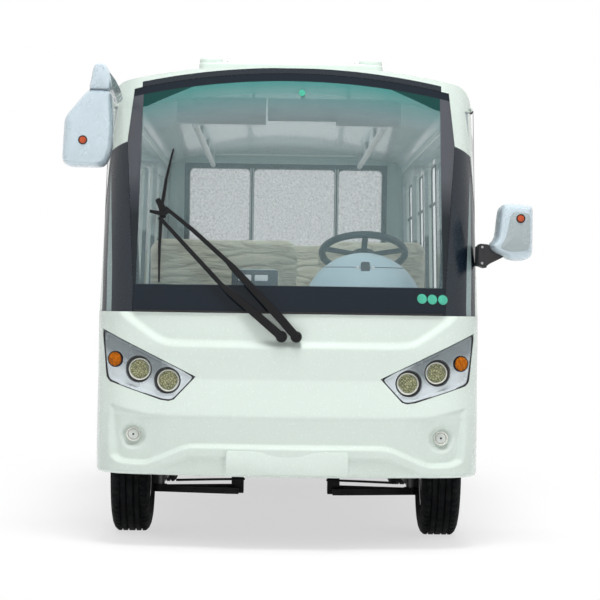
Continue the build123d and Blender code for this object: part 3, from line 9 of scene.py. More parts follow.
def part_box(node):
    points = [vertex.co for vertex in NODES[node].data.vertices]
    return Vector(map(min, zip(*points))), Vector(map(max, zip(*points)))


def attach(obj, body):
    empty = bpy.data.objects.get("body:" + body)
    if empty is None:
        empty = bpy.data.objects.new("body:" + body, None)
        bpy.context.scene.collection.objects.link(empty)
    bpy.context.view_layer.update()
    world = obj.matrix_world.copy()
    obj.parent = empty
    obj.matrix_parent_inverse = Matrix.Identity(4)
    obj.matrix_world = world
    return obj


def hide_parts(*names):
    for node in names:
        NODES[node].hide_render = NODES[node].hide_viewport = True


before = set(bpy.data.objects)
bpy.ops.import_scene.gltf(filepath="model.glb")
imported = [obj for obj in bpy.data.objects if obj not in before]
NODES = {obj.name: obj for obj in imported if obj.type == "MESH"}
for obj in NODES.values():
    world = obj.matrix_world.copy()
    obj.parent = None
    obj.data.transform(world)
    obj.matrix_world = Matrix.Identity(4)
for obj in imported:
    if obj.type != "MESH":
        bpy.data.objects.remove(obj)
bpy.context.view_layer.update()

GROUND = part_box("tyre_rear_left")[0].z

# Camera, from the photograph's perspective: pixels of its 600 x 600 frame
PHOTO = 600
FOCAL_PX = 2340
VANISH_PX = (275, 303)
ROLL_DEG = 0.85
SENSOR_MM = 36
CAMERA_AT = (-0.0554, -11.55, 0.96)
SEEN_RAYS = ("Is Camera Ray", "Is Glossy Ray", "Is Transmission Ray")
WORLD_LIGHT, WORLD_SEEN = 0.31, 1.0


def put(name, data):
    """A new object in the scene."""
    obj = bpy.data.objects.new(name, data)
    bpy.context.scene.collection.objects.link(obj)
    return obj


def add_camera():
    data = bpy.data.cameras.new("camera")
    data.sensor_width = SENSOR_MM
    data.lens = FOCAL_PX / PHOTO * SENSOR_MM
    data.clip_end = 60
    camera = put("camera", data)
    yaw = math.atan((PHOTO / 2 - VANISH_PX[0]) / FOCAL_PX)
    pitch = math.atan((VANISH_PX[1] - PHOTO / 2) / FOCAL_PX)
    look = Matrix.Rotation(-yaw, 4, "Z") @ Matrix.Rotation(math.pi / 2 + pitch, 4, "X")
    camera.matrix_world = Matrix.Translation(CAMERA_AT) @ look @ Matrix.Rotation(math.radians(ROLL_DEG), 4, "Z")
    bpy.context.scene.camera = camera


def area_light(name, place, aim, size, power):
    data = bpy.data.lights.new(name, "AREA")
    data.shape = "RECTANGLE"
    data.size, data.size_y = size
    data.energy = power
    light = put(name, data)
    light.visible_glossy = False
    light.visible_camera = False
    light.location = place
    light.rotation_euler = (Vector(aim) - Vector(place)).to_track_quat("-Z", "Y").to_euler()


def seen_share(tree):
    """One for the rays that look at a thing, and nought for those that light it."""
    rays = tree.nodes.new("ShaderNodeLightPath")
    share = rays.outputs[SEEN_RAYS[0]]
    for name in SEEN_RAYS[1:]:
        more = tree.nodes.new("ShaderNodeMath")
        more.operation = "MAXIMUM"
        tree.links.new(share, more.inputs[0])
        tree.links.new(rays.outputs[name], more.inputs[1])
        share = more.outputs[0]
    return share


def source(tree, kind, strength):
    """A white background or emission node."""
    node = tree.nodes.new(kind)
    node.inputs["Color"].default_value = (1, 1, 1, 1)
    node.inputs["Strength"].default_value = strength
    return node.outputs[0]


def blend(tree, share, plain, white, surface):
    mix = tree.nodes.new("ShaderNodeMixShader")
    for value, socket in zip((share, plain, white), mix.inputs):
        tree.links.new(value, socket)
    tree.links.new(mix.outputs[0], surface)


def add_world():
    world = bpy.data.worlds.new("studio")
    bpy.context.scene.world = world
    world.use_nodes = True
    tree = world.node_tree
    tree.nodes.clear()
    out = tree.nodes.new("ShaderNodeOutputWorld")
    soft, white = (source(tree, "ShaderNodeBackground", strength) for strength in (WORLD_LIGHT, WORLD_SEEN))
    blend(tree, seen_share(tree), soft, white, out.inputs["Surface"])


def add_floor():
    """A pale floor that fades to the white background away from the object."""
    mesh = bpy.data.meshes.new("studio_floor")
    half = 14
    mesh.from_pydata([(-half, -half, 0), (half, -half, 0), (half, half, 0), (-half, half, 0)], [], [(0, 1, 2, 3)])
    floor = put("studio_floor", mesh)
    floor.location.z = GROUND - 0.0005
    s = Shader("studio_floor", (0.90, 0.90, 0.90), 0.8, spread=0.01, scale=2).set(Specular_IOR_Level=0.1)
    far = ((s.x * 2.1) ** 2 + s.y ** 2).op("SQRT")
    seen = far.ramp(2.2, 4.4, 0.62, 1.0) * Value(s, seen_share(s.tree))
    white = source(s.tree, "ShaderNodeEmission", 1.0)
    blend(s.tree, seen.socket, s.bsdf.outputs[0], white, s.tree.nodes["Material Output"].inputs["Surface"])
    mesh.materials.append(s.mat)


def math_node(kind, swapped=False):
    """An operator of Value that is one math node."""
    return lambda self, other=0.5: self.op(kind, other, swapped)


class Value:
    """A number in a material's node tree. It adds and compares; | is the larger of two and & the smaller."""

    def __init__(self, shader, socket):
        self.shader, self.socket = shader, socket

    def op(self, kind, other=0.5, swapped=False):
        node = self.shader.node("ShaderNodeMath")
        node.operation = kind
        for socket, value in zip(node.inputs, (other, self) if swapped else (self, other)):
            self.shader.feed(socket, value)
        return Value(self.shader, node.outputs[0])

    def ramp(self, a, b, c=0.0, d=1.0):
        """Runs from c to d as the number goes from a to b, and stops there."""
        node = self.shader.node("ShaderNodeMapRange", Value=self, From_Min=a, From_Max=b, To_Min=c, To_Max=d)
        return Value(self.shader, node.outputs["Result"])

    __add__, __sub__, __rsub__ = math_node("ADD"), math_node("SUBTRACT"), math_node("SUBTRACT", True)
    __mul__, __pow__, __abs__ = math_node("MULTIPLY"), math_node("POWER"), math_node("ABSOLUTE")
    __lt__, __gt__ = math_node("LESS_THAN"), math_node("GREATER_THAN")
    __or__, __and__ = math_node("MAXIMUM"), math_node("MINIMUM")


class Shader:
    """A Principled material whose colour, roughness and bump come from object-space noise."""

    def __init__(self, name, colour, rough, metal=0.0, coat=0.0, spread=0.04, scale=6.0, grain=0.0, grain_scale=900.0):
        self.mat = bpy.data.materials.new(name)
        self.mat.use_nodes = True
        self.tree = self.mat.node_tree
        self.bsdf = self.tree.nodes["Principled BSDF"]
        self.set(Metallic=metal, Coat_Weight=coat, Coat_Roughness=0.04)
        self.coord = self.node("ShaderNodeTexCoord").outputs["Object"]
        self.x, self.y, self.z = self.split(self.coord)
        ramp = self.node("ShaderNodeValToRGB", Fac=self.noise(scale, 3))
        for stop, place, share in zip(ramp.color_ramp.elements, (0.3, 0.7), (1 - spread, 1 + spread)):
            stop.position = place
            stop.color = (*(min(1.0, c * share) for c in colour), 1)
        self.recolour(ramp.outputs["Color"])
        self.set(Roughness=self.noise(scale * 3.1, 2).ramp(0.3, 0.7, rough * 0.85, rough * 1.15))
        if grain > 0:
            self.bump(self.noise(grain_scale, 2), grain, 0.001)

    def feed(self, socket, value):
        """Links a value to a socket, or sets the socket to it."""
        if isinstance(value, Value):
            value = value.socket
        if isinstance(value, bpy.types.NodeSocket):
            self.tree.links.new(value, socket)
        else:
            socket.default_value = (*value, 1) if socket.type == "RGBA" else value

    def node(self, kind, **inputs):
        node = self.tree.nodes.new(kind)
        for name, value in inputs.items():
            self.feed(node.inputs[name.replace("_", " ")], value)
        return node

    def split(self, vector):
        node = self.node("ShaderNodeSeparateXYZ", Vector=vector)
        return [Value(self, node.outputs[i]) for i in range(3)]

    def noise(self, scale, detail, stretch=None):
        place = self.coord
        if stretch:
            place = self.node("ShaderNodeMapping", Vector=place, Scale=stretch).outputs[0]
        return Value(self, self.node("ShaderNodeTexNoise", Scale=scale, Detail=detail, Vector=place).outputs["Fac"])

    def cells(self, scale, feature="DISTANCE_TO_EDGE"):
        node = self.node("ShaderNodeTexVoronoi")
        node.feature = feature
        self.feed(node.inputs["Scale"], scale)
        self.feed(node.inputs["Vector"], self.coord)
        return Value(self, node.outputs["Distance"])

    def mix(self, share, a, b):
        """A colour mix; a and b are sockets or colours."""
        node = self.node("ShaderNodeMix")
        node.data_type = "RGBA"
        for i, value in ((0, share), (6, a), (7, b)):
            self.feed(node.inputs[i], value)
        return node.outputs[2]

    def recolour(self, colour):
        self.colour = colour
        self.tree.links.new(colour, self.bsdf.inputs["Base Color"])
        return self

    def paint(self, share, colour):
        """Lays a colour over what is there, where the share is one."""
        return self.recolour(self.mix(share, self.colour, colour))

    def bump(self, height, strength, distance):
        node = self.node("ShaderNodeBump", Strength=strength, Distance=distance, Height=height)
        self.tree.links.new(node.outputs["Normal"], self.bsdf.inputs["Normal"])
        return self

    def set(self, **values):
        for name, value in values.items():
            self.feed(self.bsdf.inputs[name.replace("_", " ")], value)
        return self


SCREEN_BLACK = (0.006, 0.012, 0.020)
PAINT = (0.665, 0.755, 0.700)
TAIL_RED = (0.42, 0.012, 0.010)
TRIM_TOP = 1.838     # Where the inside trim ends under the roof
REAR_HALF, REAR_MIDDLE_Z, REAR_HALF_Z = 0.580, 1.4425, 0.3225     # The rear window's glass
REAR_BARS = (-0.204, 0.305)


def paint_shader(name):
    return Shader(name, PAINT, 0.25, coat=0.4, spread=0.006, scale=40)


def wall_inside(s):
    """The half width at which the side walls' inner face begins."""
    return s.z.ramp(BELT, SEAM_ROOF, 0.733, 0.710)


def screen_arch(s):
    """The height of the windscreen's arched top edge."""
    return 1.868 - abs(s.x) ** 2 * 0.1575


def body_paint(name, inner=False, corners=False):
    """White paint; inner gives the inside grey trim, painted dark below 1.30 m as painted shade, and corners gives the
    screen's frame its black sides.
    """
    s = paint_shader(name)
    z, a = s.z, abs(s.x)
    s.paint(z.ramp(0.42, 0.28, 0.0, 0.10) * s.noise(9, 4).ramp(0.4, 0.7), (0.52, 0.52, 0.48))
    if inner:
        # The inside trim: grey above 1.30 m, and dark below as painted shade.
        trim = s.mix(z.ramp(1.32, 1.30), (0.33, 0.39, 0.40), (0.06, 0.08, 0.085))
        s.paint((a < wall_inside(s)) * (z < TRIM_TOP), trim)
    if corners:
        black = (z + (a - 0.60) ** 2 * 2.9).ramp(1.5985, 1.6015, 1.0, 0.0)
        black = black * (a < z.ramp(0.98, 1.30, 0.738, 0.7445)) * (a > 0.585)
        # A pale strip down the black sides is a painted reflection.
        strip = abs(a - z.ramp(0.96, 1.50, 0.708, 0.719)) < z.ramp(1.10, 1.48, 0.0105, 0.0)
        s.paint(black, s.mix(strip, SCREEN_BLACK, (0.26, 0.34, 0.34)))
        header = (abs(z - screen_arch(s) - 0.0055) < 0.0165) * (a < 0.596) * (s.y - a ** 2 * 0.25 < -2.272)
        s.paint(header, SCREEN_BLACK)
        s.set(Coat_Weight=0.4 - (header | black) * 0.4)
    return s.mat


def rear_paint():
    """White paint, with a dark frame and dark bars at the rear window's panes."""
    s = paint_shader("paint_white_rear")
    z, a, limit = s.z, abs(s.x), wall_inside(s)
    away = (a - REAR_HALF) | (abs(z - REAR_MIDDLE_Z) - REAR_HALF_Z)
    corner = ((a - (limit - 0.09)) | 0.0) ** 2 + ((s.y - 2.44) | 0.0) ** 2
    within = (corner < 0.0095) * (a < limit) * (z < TRIM_TOP)
    bar = abs(s.x - REAR_BARS[0]) & abs(s.x - REAR_BARS[1])
    s.paint(within, (0.40, 0.49, 0.49))
    s.paint(away < within * 0.028, (0.045, 0.06, 0.062))
    s.paint(within * (bar > 0.004) * ((away | (bar - 0.012)) < 0.0), (0.66, 0.67, 0.67))
    return s.mat


def lamp_silver():
    """Silver that darkens towards the lamps' upper outer side."""
    s = Shader("lamp_silver", (0.60, 0.66, 0.69), 0.25, metal=0.4, coat=0.3, spread=0.02, grain=0.04, grain_scale=2200)
    a = abs(s.x)
    bright = (s.z - 0.669 - (a - 0.358) * 0.484).ramp(-0.060, -0.125) | a.ramp(0.50, 0.43)
    return s.recolour(s.mix(bright, (0.20, 0.235, 0.25), s.colour)).mat


def roof_paint():
    """White paint, with grey on what faces down: the ceiling lining's colour, darkened as painted shade."""
    s = paint_shader("roof_paint")
    facing = s.split(s.node("ShaderNodeNewGeometry").outputs["True Normal"])
    # Grey on the down-facing faces: the lining's colour, painted darker as painted shade.
    return s.paint(facing[2] < -0.15, (0.42, 0.50, 0.51)).mat


def screen_glass():
    """Clear glass with a printed band below, side strips, and a shaded band under its arched top edge."""
    # The glass's pale colour, seen at a low alpha all over, is its green tint and also a painted veil of reflection.
    s = Shader("screen_glass", (0.24, 0.34, 0.36), 0.03, spread=0.02)
    z, a = s.z, abs(s.x)
    down = screen_arch(s) - z
    swoosh = (down - (a.ramp(0.39, 0.575, 0.0, 0.050) + 0.031)).ramp(-0.0015, 0.0015, 1.0, 0.0)
    printed = down.ramp(0.0295, 0.0325, 1.0, 0.0) | z.ramp(1.0245, 1.0275, 1.0, 0.0)
    edge = (a + (z - 1.40) * 0.012).ramp(0.594, 0.597)
    s.paint(down.ramp(0.03, 0.16, 1.0, 0.0), (0.055, 0.27, 0.25))
    s.paint(swoosh, (0.002, 0.050, 0.045))
    s.paint(edge, s.mix(z.ramp(1.46, 1.30), (0.085, 0.090, 0.105), (0.012, 0.017, 0.021)))
    s.paint(printed, SCREEN_BLACK)
    solid = (printed | (swoosh | edge)) * 0.985
    alpha = ((down.ramp(0.03, 0.19, 0.62, 0.0) + 0.17) | solid) & 1.0
    return s.set(Alpha=alpha, Specular_IOR_Level=0.25).mat


def pane_glass():
    """Side panes are clear; the rear panes are pale and speckled, nearly opaque."""
    s = Shader("pane_glass", (0.40, 0.46, 0.45), 0.04, spread=0.03)
    rear = s.y > 2.5
    speckle = s.noise(75, 3).ramp(0.35, 0.65)
    s.paint(rear, s.mix(speckle, (0.40, 0.41, 0.41), (0.62, 0.63, 0.63)))
    return s.set(Alpha=rear * (speckle * 0.16 + 0.08) + 0.16, Specular_IOR_Level=0.5).mat


def led_lens():
    s = Shader("led_lens", (0.30, 0.31, 0.15), 0.18, coat=0.4, spread=0.25, scale=90)
    # Dark lines along the facets' grooves are painted shade.
    lines = s.cells(105).ramp(0.0, 0.22)
    s.recolour(s.mix(lines, (0.08, 0.085, 0.03), s.colour))
    # Pale spots at the facets' middles are painted highlights.
    s.paint(s.cells(230, "F1").ramp(0.0, 0.35, 1.0, 0.0), (0.62, 0.64, 0.46))
    return s.bump(lines, 0.5, 0.002).mat


def tail_lens():
    """Red, with amber above and clear below, and ribs across."""
    s = Shader("tail_lens", TAIL_RED, 0.12, coat=1.0, spread=0.1)
    s.paint(s.z > 0.815, (0.75, 0.23, 0.02)).paint(s.z < 0.705, (0.70, 0.72, 0.72))
    ribs = s.node("ShaderNodeTexWave", Scale=34, Vector=s.coord)
    ribs.bands_direction = "Z"
    return s.bump(ribs.outputs["Fac"], 0.4, 0.002).mat


def seat_cover():
    """Pale beige cover with loose folds across it, painted darker along the folds as painted shade."""
    s = Shader("seat_cover", (0.68, 0.645, 0.50), 0.36, coat=0.2, spread=0.08, scale=9)
    ridge = abs(s.noise(7, 5, (0.55, 0.7, 2.2)) - 0.5).ramp(0.0, 0.10)
    # Darker brown along the folds' lines: painted shade.
    s.paint(ridge.ramp(0.0, 0.6, 0.40, 0.0), (0.34, 0.31, 0.23))
    return s.bump(ridge + s.noise(420, 2) * 0.10, 0.8, 0.010).set(Sheen_Weight=0.1).mat


def soiled(name, colour, rough, dirt, dirt_scale, dirt_detail, low, high, most, **more):
    """A material with patches of dirt or rust."""
    s = Shader(name, colour, rough, **more)
    return s.paint(s.noise(dirt_scale, dirt_detail).ramp(low, high, 0.0, most), dirt)


def floor_vinyl():
    s = Shader("floor_vinyl", (0.12, 0.125, 0.13), 0.6, spread=0.1)
    s.paint(s.noise(650, 2).ramp(0.60, 0.66, 0.0, 0.6), (0.28, 0.29, 0.30))
    return s.bump(s.cells(190), 0.25, 0.001).mat


def assign(material, *names):
    for name in names:
        slots = NODES[name].data.materials
        slots.clear()
        slots.append(material)

AHEAD, AFT = (0, -1, 0), (0, 1, 0)
POINT = 0.0004      # A turned form's radius at its closed end


def arc(centre, r, turns, across=1, up=2):
    """Points round a centre, in the plane of two axes."""
    points = []
    for turn in turns:
        p = list(centre)
        p[across] += r * math.cos(turn)
        p[up] += r * math.sin(turn)
        points.append(p)
    return points


def whole_turn(count):
    return [math.tau * k / count for k in range(count)]


def ring_pairs(points):
    """Each point of a closed outline with the next."""
    return zip(points, points[1:] + points[:1])


class Parts:
    """Vertices and faces of one joined piece."""

    def __init__(self):
        self.verts = []
        self.faces = []

    def rings(self, rings, closed=True, caps=(True, True)):
        """A skin over equal rings of points, with flat ends."""
        n, last, base = len(rings[0]), len(rings) - 1, len(self.verts)
        self.verts += [tuple(p) for ring in rings for p in ring]
        faces = []
        for i in range(last):
            for j in range(n if closed else n - 1):
                k = (j + 1) % n
                faces.append((i * n + j, i * n + k, (i + 1) * n + k, (i + 1) * n + j))
        if caps[0]:
            faces.append(range(n)[::-1])
        if caps[1]:
            faces.append(range(last * n, last * n + n))
        self.faces += [tuple(base + i for i in face) for face in faces]

    def lathe(self, origin, axis, profile, segments=32):
        """A turned form: the profile's rows are radius and distance along the axis."""
        axis = Vector(axis).normalized()
        side = axis.orthogonal().normalized()
        up = axis.cross(side)
        self.rings([[Vector(origin) + axis * along + (side * math.cos(turn) + up * math.sin(turn)) * r
                     for turn in whole_turn(segments)] for r, along in profile])

    def stud(self, origin, axis, r, rise, segments=18):
        """A small round button."""
        self.lathe(origin, axis, [(r, 0), (r, 0.003), (r - rise, 0.004), (POINT, 0.0042)], segments)

    def sweep(self, path, sections, closed=False, segments=10, flat=None):
        """A bar along a path. Each section is a radius, or a width and a height across the flat direction."""
        points = [Vector(p) for p in path]
        n = len(points)
        if not isinstance(sections, list):
            sections = [sections] * n
        rings = []
        side = None
        for i, (p, size) in enumerate(zip(points, sections)):
            ahead = points[(i + 1) % n] if closed or i < n - 1 else p
            back = points[i - 1] if closed or i > 0 else p
            along = (ahead - back).normalized()
            if flat is not None:
                side = along.cross(Vector(flat)).normalized()
            elif side is None:
                side = along.orthogonal().normalized()
            else:
                side = (side - along * side.dot(along)).normalized()
            up = side.cross(along)
            square = isinstance(size, tuple)
            w, h = size if square else (size, size)
            ring = []
            for j in range(segments):
                turn = math.tau * (j + 0.5) / segments
                c, s = math.cos(turn), math.sin(turn)
                if square:
                    c, s = (math.copysign(abs(value) ** 0.4, value) for value in (c, s))
                ring.append(p + side * c * w + up * s * h)
            rings.append(ring)
        if closed:
            rings.append(rings[0])
        self.rings(rings, caps=(not closed, not closed))

    def slab(self, low, high, r, axis, corner):
        """A box with rounded edges: corner rounds it seen along the axis, r rounds its two faces."""
        u, v = [i for i in range(3) if i != axis]
        edge = ((r, 0), (r * 0.3, r * 0.3), (0, r))
        rings = []
        for end, way in ((low, 1), (high, -1)):
            for inset, along in edge[::way]:
                half = [(high[i] - low[i]) / 2 - inset for i in (u, v)]
                ring = []
                for x, y in round_rect(*half, max(corner - inset, 0.0005)):
                    p = [end[axis] + way * along] * 3
                    p[u], p[v] = (low[u] + high[u]) / 2 + x, (low[v] + high[v]) / 2 + y
                    ring.append(p)
                rings.append(ring)
        self.rings(rings)

    def wall_slab(self, side, depths, ys, zs, r, corner):
        """A slab on a side wall, between two distances from the middle."""
        xs = sorted(side * depth for depth in depths)
        self.slab(*zip(xs, ys, zs), r, 0, corner)

    def shell(self, outline, rows, count, rounds, middle):
        """A rounded shell over an outline: rows of inset and distance behind the front, from its back to its face.
        An inset over 1 draws the last ring in towards the middle by what it has over 1."""
        points = resampled(smooth_outline(outline, rounds), count)
        middle = Vector(middle)
        normals = []
        for i, p in enumerate(points):
            along = (points[(i + 1) % count] - points[i - 1]).normalized()
            out = Vector((along.y, -along.x))
            normals.append(out if out.dot(p - middle) > 0 else -out)
        rings = []
        last = points
        for inset, behind in rows:
            if inset > 1:
                flat = [p.lerp(middle, inset - 1) for p in last]
            else:
                flat = last = [p - normal * inset for p, normal in zip(points, normals)]
            rings.append([(p.x, FRONT + behind, p.y) for p in flat])
        self.rings(rings)

    def make(self, name, material, *replaced, body="bus", sharp=35):
        def outwards(work):
            bmesh.ops.recalc_face_normals(work, faces=work.faces)
        mesh = worked_mesh(name, self.verts, self.faces, outwards)
        return finish_piece(mesh, material, *replaced, body=body, sharp=sharp)


def several(count):
    return [Parts() for i in range(count)]


def round_rect(w, h, r, steps=4):
    """A rounded rectangle's points, from its half sizes."""
    points = []
    for sx, sy, start in ((1, 1, 0), (-1, 1, 90), (-1, -1, 180), (1, -1, 270)):
        for i in range(steps + 1):
            turn = math.radians(start + 90 * i / steps)
            points.append((sx * (w - r) + r * math.cos(turn), sy * (h - r) + r * math.sin(turn)))
    return points


def worked_mesh(name, verts, faces, change):
    """A mesh that a function has changed."""
    mesh = bpy.data.meshes.new(name)
    mesh.from_pydata(verts, [], faces)
    work = bmesh.new()
    work.from_mesh(mesh)
    change(work)
    work.to_mesh(mesh)
    work.free()
    return mesh


def finish_piece(mesh, material, *replaced, body="bus", sharp=35):
    """A piece that rides on a body, in its material's slot, and stands for the nodes that it replaces."""
    mesh.polygons.foreach_set("use_smooth", [True] * len(mesh.polygons))
    mesh.set_sharp_from_angle(angle=math.radians(sharp))
    mesh.materials.append(material)
    obj = put(mesh.name, mesh)
    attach(obj, body)
    if replaced:
        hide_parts(*replaced)
    return obj


# Body skin, in metres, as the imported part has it: height, nose setback, half width
FRONT = -2.55
SKIRT, BELT = 0.285, 0.917
HALF = 0.753
SEAM_FRONT, SEAM_REAR, SEAM_ROOF = -2.150, 2.390, 1.740
BOW_R, CORNER_R = 2.0, 0.2
LOWER = ((0.285, 0.016, 0.753), (0.405, 0.0, 0.753), (0.523, 0.002, 0.753), (0.660, 0.026, 0.753),
         (0.777, 0.020, 0.753), (0.917, 0.024, 0.753))
BAND = ((0.285, 0.036, 0.737), (0.405, 0.020, 0.737), (0.523, 0.002, 0.753), (0.917, 0.024, 0.753))
UPPER = ((0.917, 0.042, 0.753), (1.740, 0.231, 0.730), (1.960, 0.282, 0.724))


def level(z, sections, column, soften=0.0):
    """A section table's column at a height, eased over its corners."""
    heights, values = ([row[i] for row in sections] for i in (0, column))
    return sum(np.interp(z + o, heights, values) for o in np.linspace(-soften, soften, 5)) / 5


def skin(s, z, sections, depth=0.0, soften=0.0):
    """Points of the front skin: s is the distance round from the middle, depth goes inwards."""
    nose = FRONT + level(z, sections, 1, soften)
    xc = level(z, sections, 2, soften) - CORNER_R
    turn = np.arcsin(xc / (BOW_R - CORNER_R))
    yc = nose + BOW_R - np.sqrt((BOW_R - CORNER_R) ** 2 - xc ** 2)
    s1 = BOW_R * turn
    s2 = CORNER_R * (np.pi / 2 - turn)
    a = np.abs(s)
    bow = a < s1
    angle = np.where(bow, a / BOW_R, np.minimum(turn + (a - s1) / CORNER_R, np.pi / 2))
    x = np.where(bow, BOW_R * np.sin(angle), xc + CORNER_R * np.sin(angle)) - depth * np.sin(angle)
    y = np.where(bow, nose + BOW_R - BOW_R * np.cos(angle), yc - CORNER_R * np.cos(angle) + np.maximum(a - s1 - s2, 0))
    return np.sign(s) * x, y + depth * np.cos(angle), s1 + s2 + SEAM_FRONT - yc


def around(x, z, sections):
    """The distance round from the middle of a place seen from the front."""
    xc = level(z, sections, 2) - CORNER_R
    turn = np.arcsin(xc / (BOW_R - CORNER_R))
    a = np.abs(x)
    bow = a < xc * BOW_R / (BOW_R - CORNER_R)
    side = np.arcsin(np.clip((a - xc) / CORNER_R, -1, 1))
    return np.sign(x) * np.where(bow, BOW_R * np.arcsin(np.clip(a / BOW_R, -1, 1)),
                                 BOW_R * turn + CORNER_R * (side - turn))


def on_front(x, z, depth=0.0, sections=LOWER):
    """The point of the front skin behind a place seen from the front."""
    px, py = skin(around(x, z, sections), z, sections, depth)[:2]
    return Vector((float(px), float(py), z))


def on_glass(x, z, off):
    """The same on the windscreen, a distance before the glass."""
    return on_front(x, z, -off, UPPER)


def outline_distance(x, z, outline):
    """Signed distance to a closed outline, negative inside."""
    best = np.full(np.shape(x), 9.0)
    inside = np.zeros(np.shape(x), bool)
    for (x0, z0), (x1, z1) in ring_pairs(outline):
        ex, ez = x1 - x0, z1 - z0
        t = np.clip(((x - x0) * ex + (z - z0) * ez) / (ex * ex + ez * ez), 0, 1)
        best = np.minimum(best, np.hypot(x - x0 - t * ex, z - z0 - t * ez))
        if z0 != z1:
            inside ^= ((z0 > z) != (z1 > z)) & (x < x0 + (z - z0) / (z1 - z0) * ex)
    return np.where(inside, -best, best)


def ease(value, low, high):
    t = np.clip((value - low) / (high - low), 0, 1)
    return t * t * (3 - 2 * t)


# The nose's forms seen from the front, and its lamps: X, Z and radius
LEDGE_OUTLINE = [(0.660, 0.93), (0.640, 0.905), (0.542, 0.833), (0.480, 0.797), (-0.3, 0.797), (-0.3, 0.93)]
BAND_OUTLINE = [(-0.3, 0.560), (0.45, 0.560), (0.56, 0.521), (0.693, 0.552), (0.688, 0.352), (0.648, 0.334),
                (0.548, 0.331), (0.458, 0.372), (0.386, 0.402), (-0.3, 0.402)]
EYEBROW_OUTLINE = [(0.455, 0.521), (0.543, 0.515), (0.693, 0.552), (0.688, 0.352), (0.648, 0.334), (0.548, 0.331),
                   (0.47, 0.40)]
LIP_OUTLINE = [(0.237, 0.357), (0.386, 0.357), (0.545, 0.289), (0.545, 0.20), (0.237, 0.20)]
LAMP_OUTLINE = [(0.732, 0.850), (0.358, 0.669), (0.442, 0.579), (0.462, 0.573), (0.494, 0.577), (0.697, 0.643),
                (0.712, 0.660)]
LAMPS = [(0.470, 0.652, 0.052), (0.584, 0.694, 0.052), (0.678, 0.731, 0.031)]
FOG = (0.612, 0.440)
FOG_R = 0.028


def nose_depth(x, z):
    """How far the nose's panel lies behind the plain skin."""
    a = np.abs(x)
    ledge = smooth_outline(LEDGE_OUTLINE, 3, 0.03)
    depth = 0.018 * ease(-outline_distance(a, z, ledge), -0.016, 0.018)
    sunk = np.maximum(level(z, BAND, 1, 0.006) - level(z, LOWER, 1, 0.006), 0)
    inside = ease(-outline_distance(a, z, smooth_outline(BAND_OUTLINE, 3, 0.02)), -0.010, 0.012)
    depth = depth + sunk * inside * ease(0.525 - z, 0, 0.02)
    depth = depth + 0.008 * ease(-outline_distance(a, z, EYEBROW_OUTLINE), -0.008, 0.012) * ease(a, 0.46, 0.56)
    r = np.hypot(a - FOG[0], z - FOG[1])
    depth = depth + 0.022 * (1 - ease(r, 0.030, 0.062)) + 0.004 * (1 - ease(r, 0.022, 0.03))
    depth = depth + 0.008 * ease(-outline_distance(a, z, LIP_OUTLINE), -0.007, 0.007)
    edge = np.clip((SKIRT + 0.018 - z) / 0.018, 0, 1)
    return depth + 0.014 * (1 - np.sqrt(np.maximum(1 - edge ** 2, 0)))


def shrunk(outline, margin):
    """A closed outline drawn in by a margin, corner by corner."""
    n = len(outline)
    turn = math.copysign(1, sum(a[0] * b[1] - b[0] * a[1] for a, b in ring_pairs(outline)))
    points = []
    for i in range(n):
        p, q, r = (Vector(outline[(i + k) % n]) for k in (-1, 0, 1))
        n0, n1 = (Vector((-d.y, d.x)) * turn for d in ((q - p).normalized(), (r - q).normalized()))
        both = (n0 + n1).normalized()
        points.append(tuple(q + both * margin / max(both.dot(n0), 0.4)))
    return points


def smooth_outline(points, rounds, reach=0.012):
    """Corner-cutting on a closed outline."""
    points = [Vector(p) for p in points]
    for i in range(rounds):
        cut = []
        for a, b in ring_pairs(points):
            step = min(0.25, reach / max((b - a).length, 1e-6))
            cut += [a.lerp(b, step), b.lerp(a, step)]
        points = cut
    return [tuple(p) for p in points]


def resampled(points, count):
    """Evenly spaced points round a closed outline."""
    points = [Vector(p) for p in points]
    lengths = [(b - a).length for a, b in ring_pairs(points)]
    total = sum(lengths)
    made = []
    i, walked = 0, 0.0
    for k in range(count):
        target = total * k / count
        while walked + lengths[i] < target:
            walked += lengths[i]
            i += 1
        made.append(points[i].lerp(points[(i + 1) % len(points)], (target - walked) / lengths[i]))
    return made


def cut_outline(work, outline, side, keep):
    """Cuts an outline through a front mesh and keeps what is inside or outside it."""
    margin = 0.02
    (x_low, x_high), (z_low, z_high) = ((min(row) - margin, max(row) + margin) for row in zip(*outline))

    def near(p):
        return x_low < p.x * side < x_high and z_low < p.z < z_high

    for (x0, z0), (x1, z1) in ring_pairs(outline):
        faces = [f for f in work.faces if near(f.calc_center_median())]
        geom = faces + list({e for f in faces for e in f.edges}) + list({v for f in faces for v in f.verts})
        normal = Vector((z1 - z0, 0, -(x1 - x0) * side))
        bmesh.ops.bisect_plane(work, geom=geom, dist=1e-6, plane_co=(x0 * side, 0, z0), plane_no=normal)
    gone = []
    for face in work.faces:
        p = face.calc_center_median()
        within = p.x * side > 0 and near(p) and outline_distance(np.array(p.x * side), np.array(p.z), outline) < 0
        if within != keep:
            gone.append(face)
    bmesh.ops.delete(work, geom=gone, context="FACES")


def rim_inwards(work, depth, test):
    """Turns the open edges that pass the test inwards, as a short wall."""
    edges = [e for e in work.edges if e.is_boundary and test((e.verts[0].co + e.verts[1].co) / 2)]
    normals = {v: v.normal.copy() for e in edges for v in e.verts}
    made = bmesh.ops.extrude_edge_only(work, edges=edges)["geom"]
    for v in (g for g in made if isinstance(g, bmesh.types.BMVert)):
        inward = normals[min(normals, key=lambda k: (k.co - v.co).length_squared)]
        if inward.y > 0:
            inward = -inward
        v.co = v.co - inward * depth


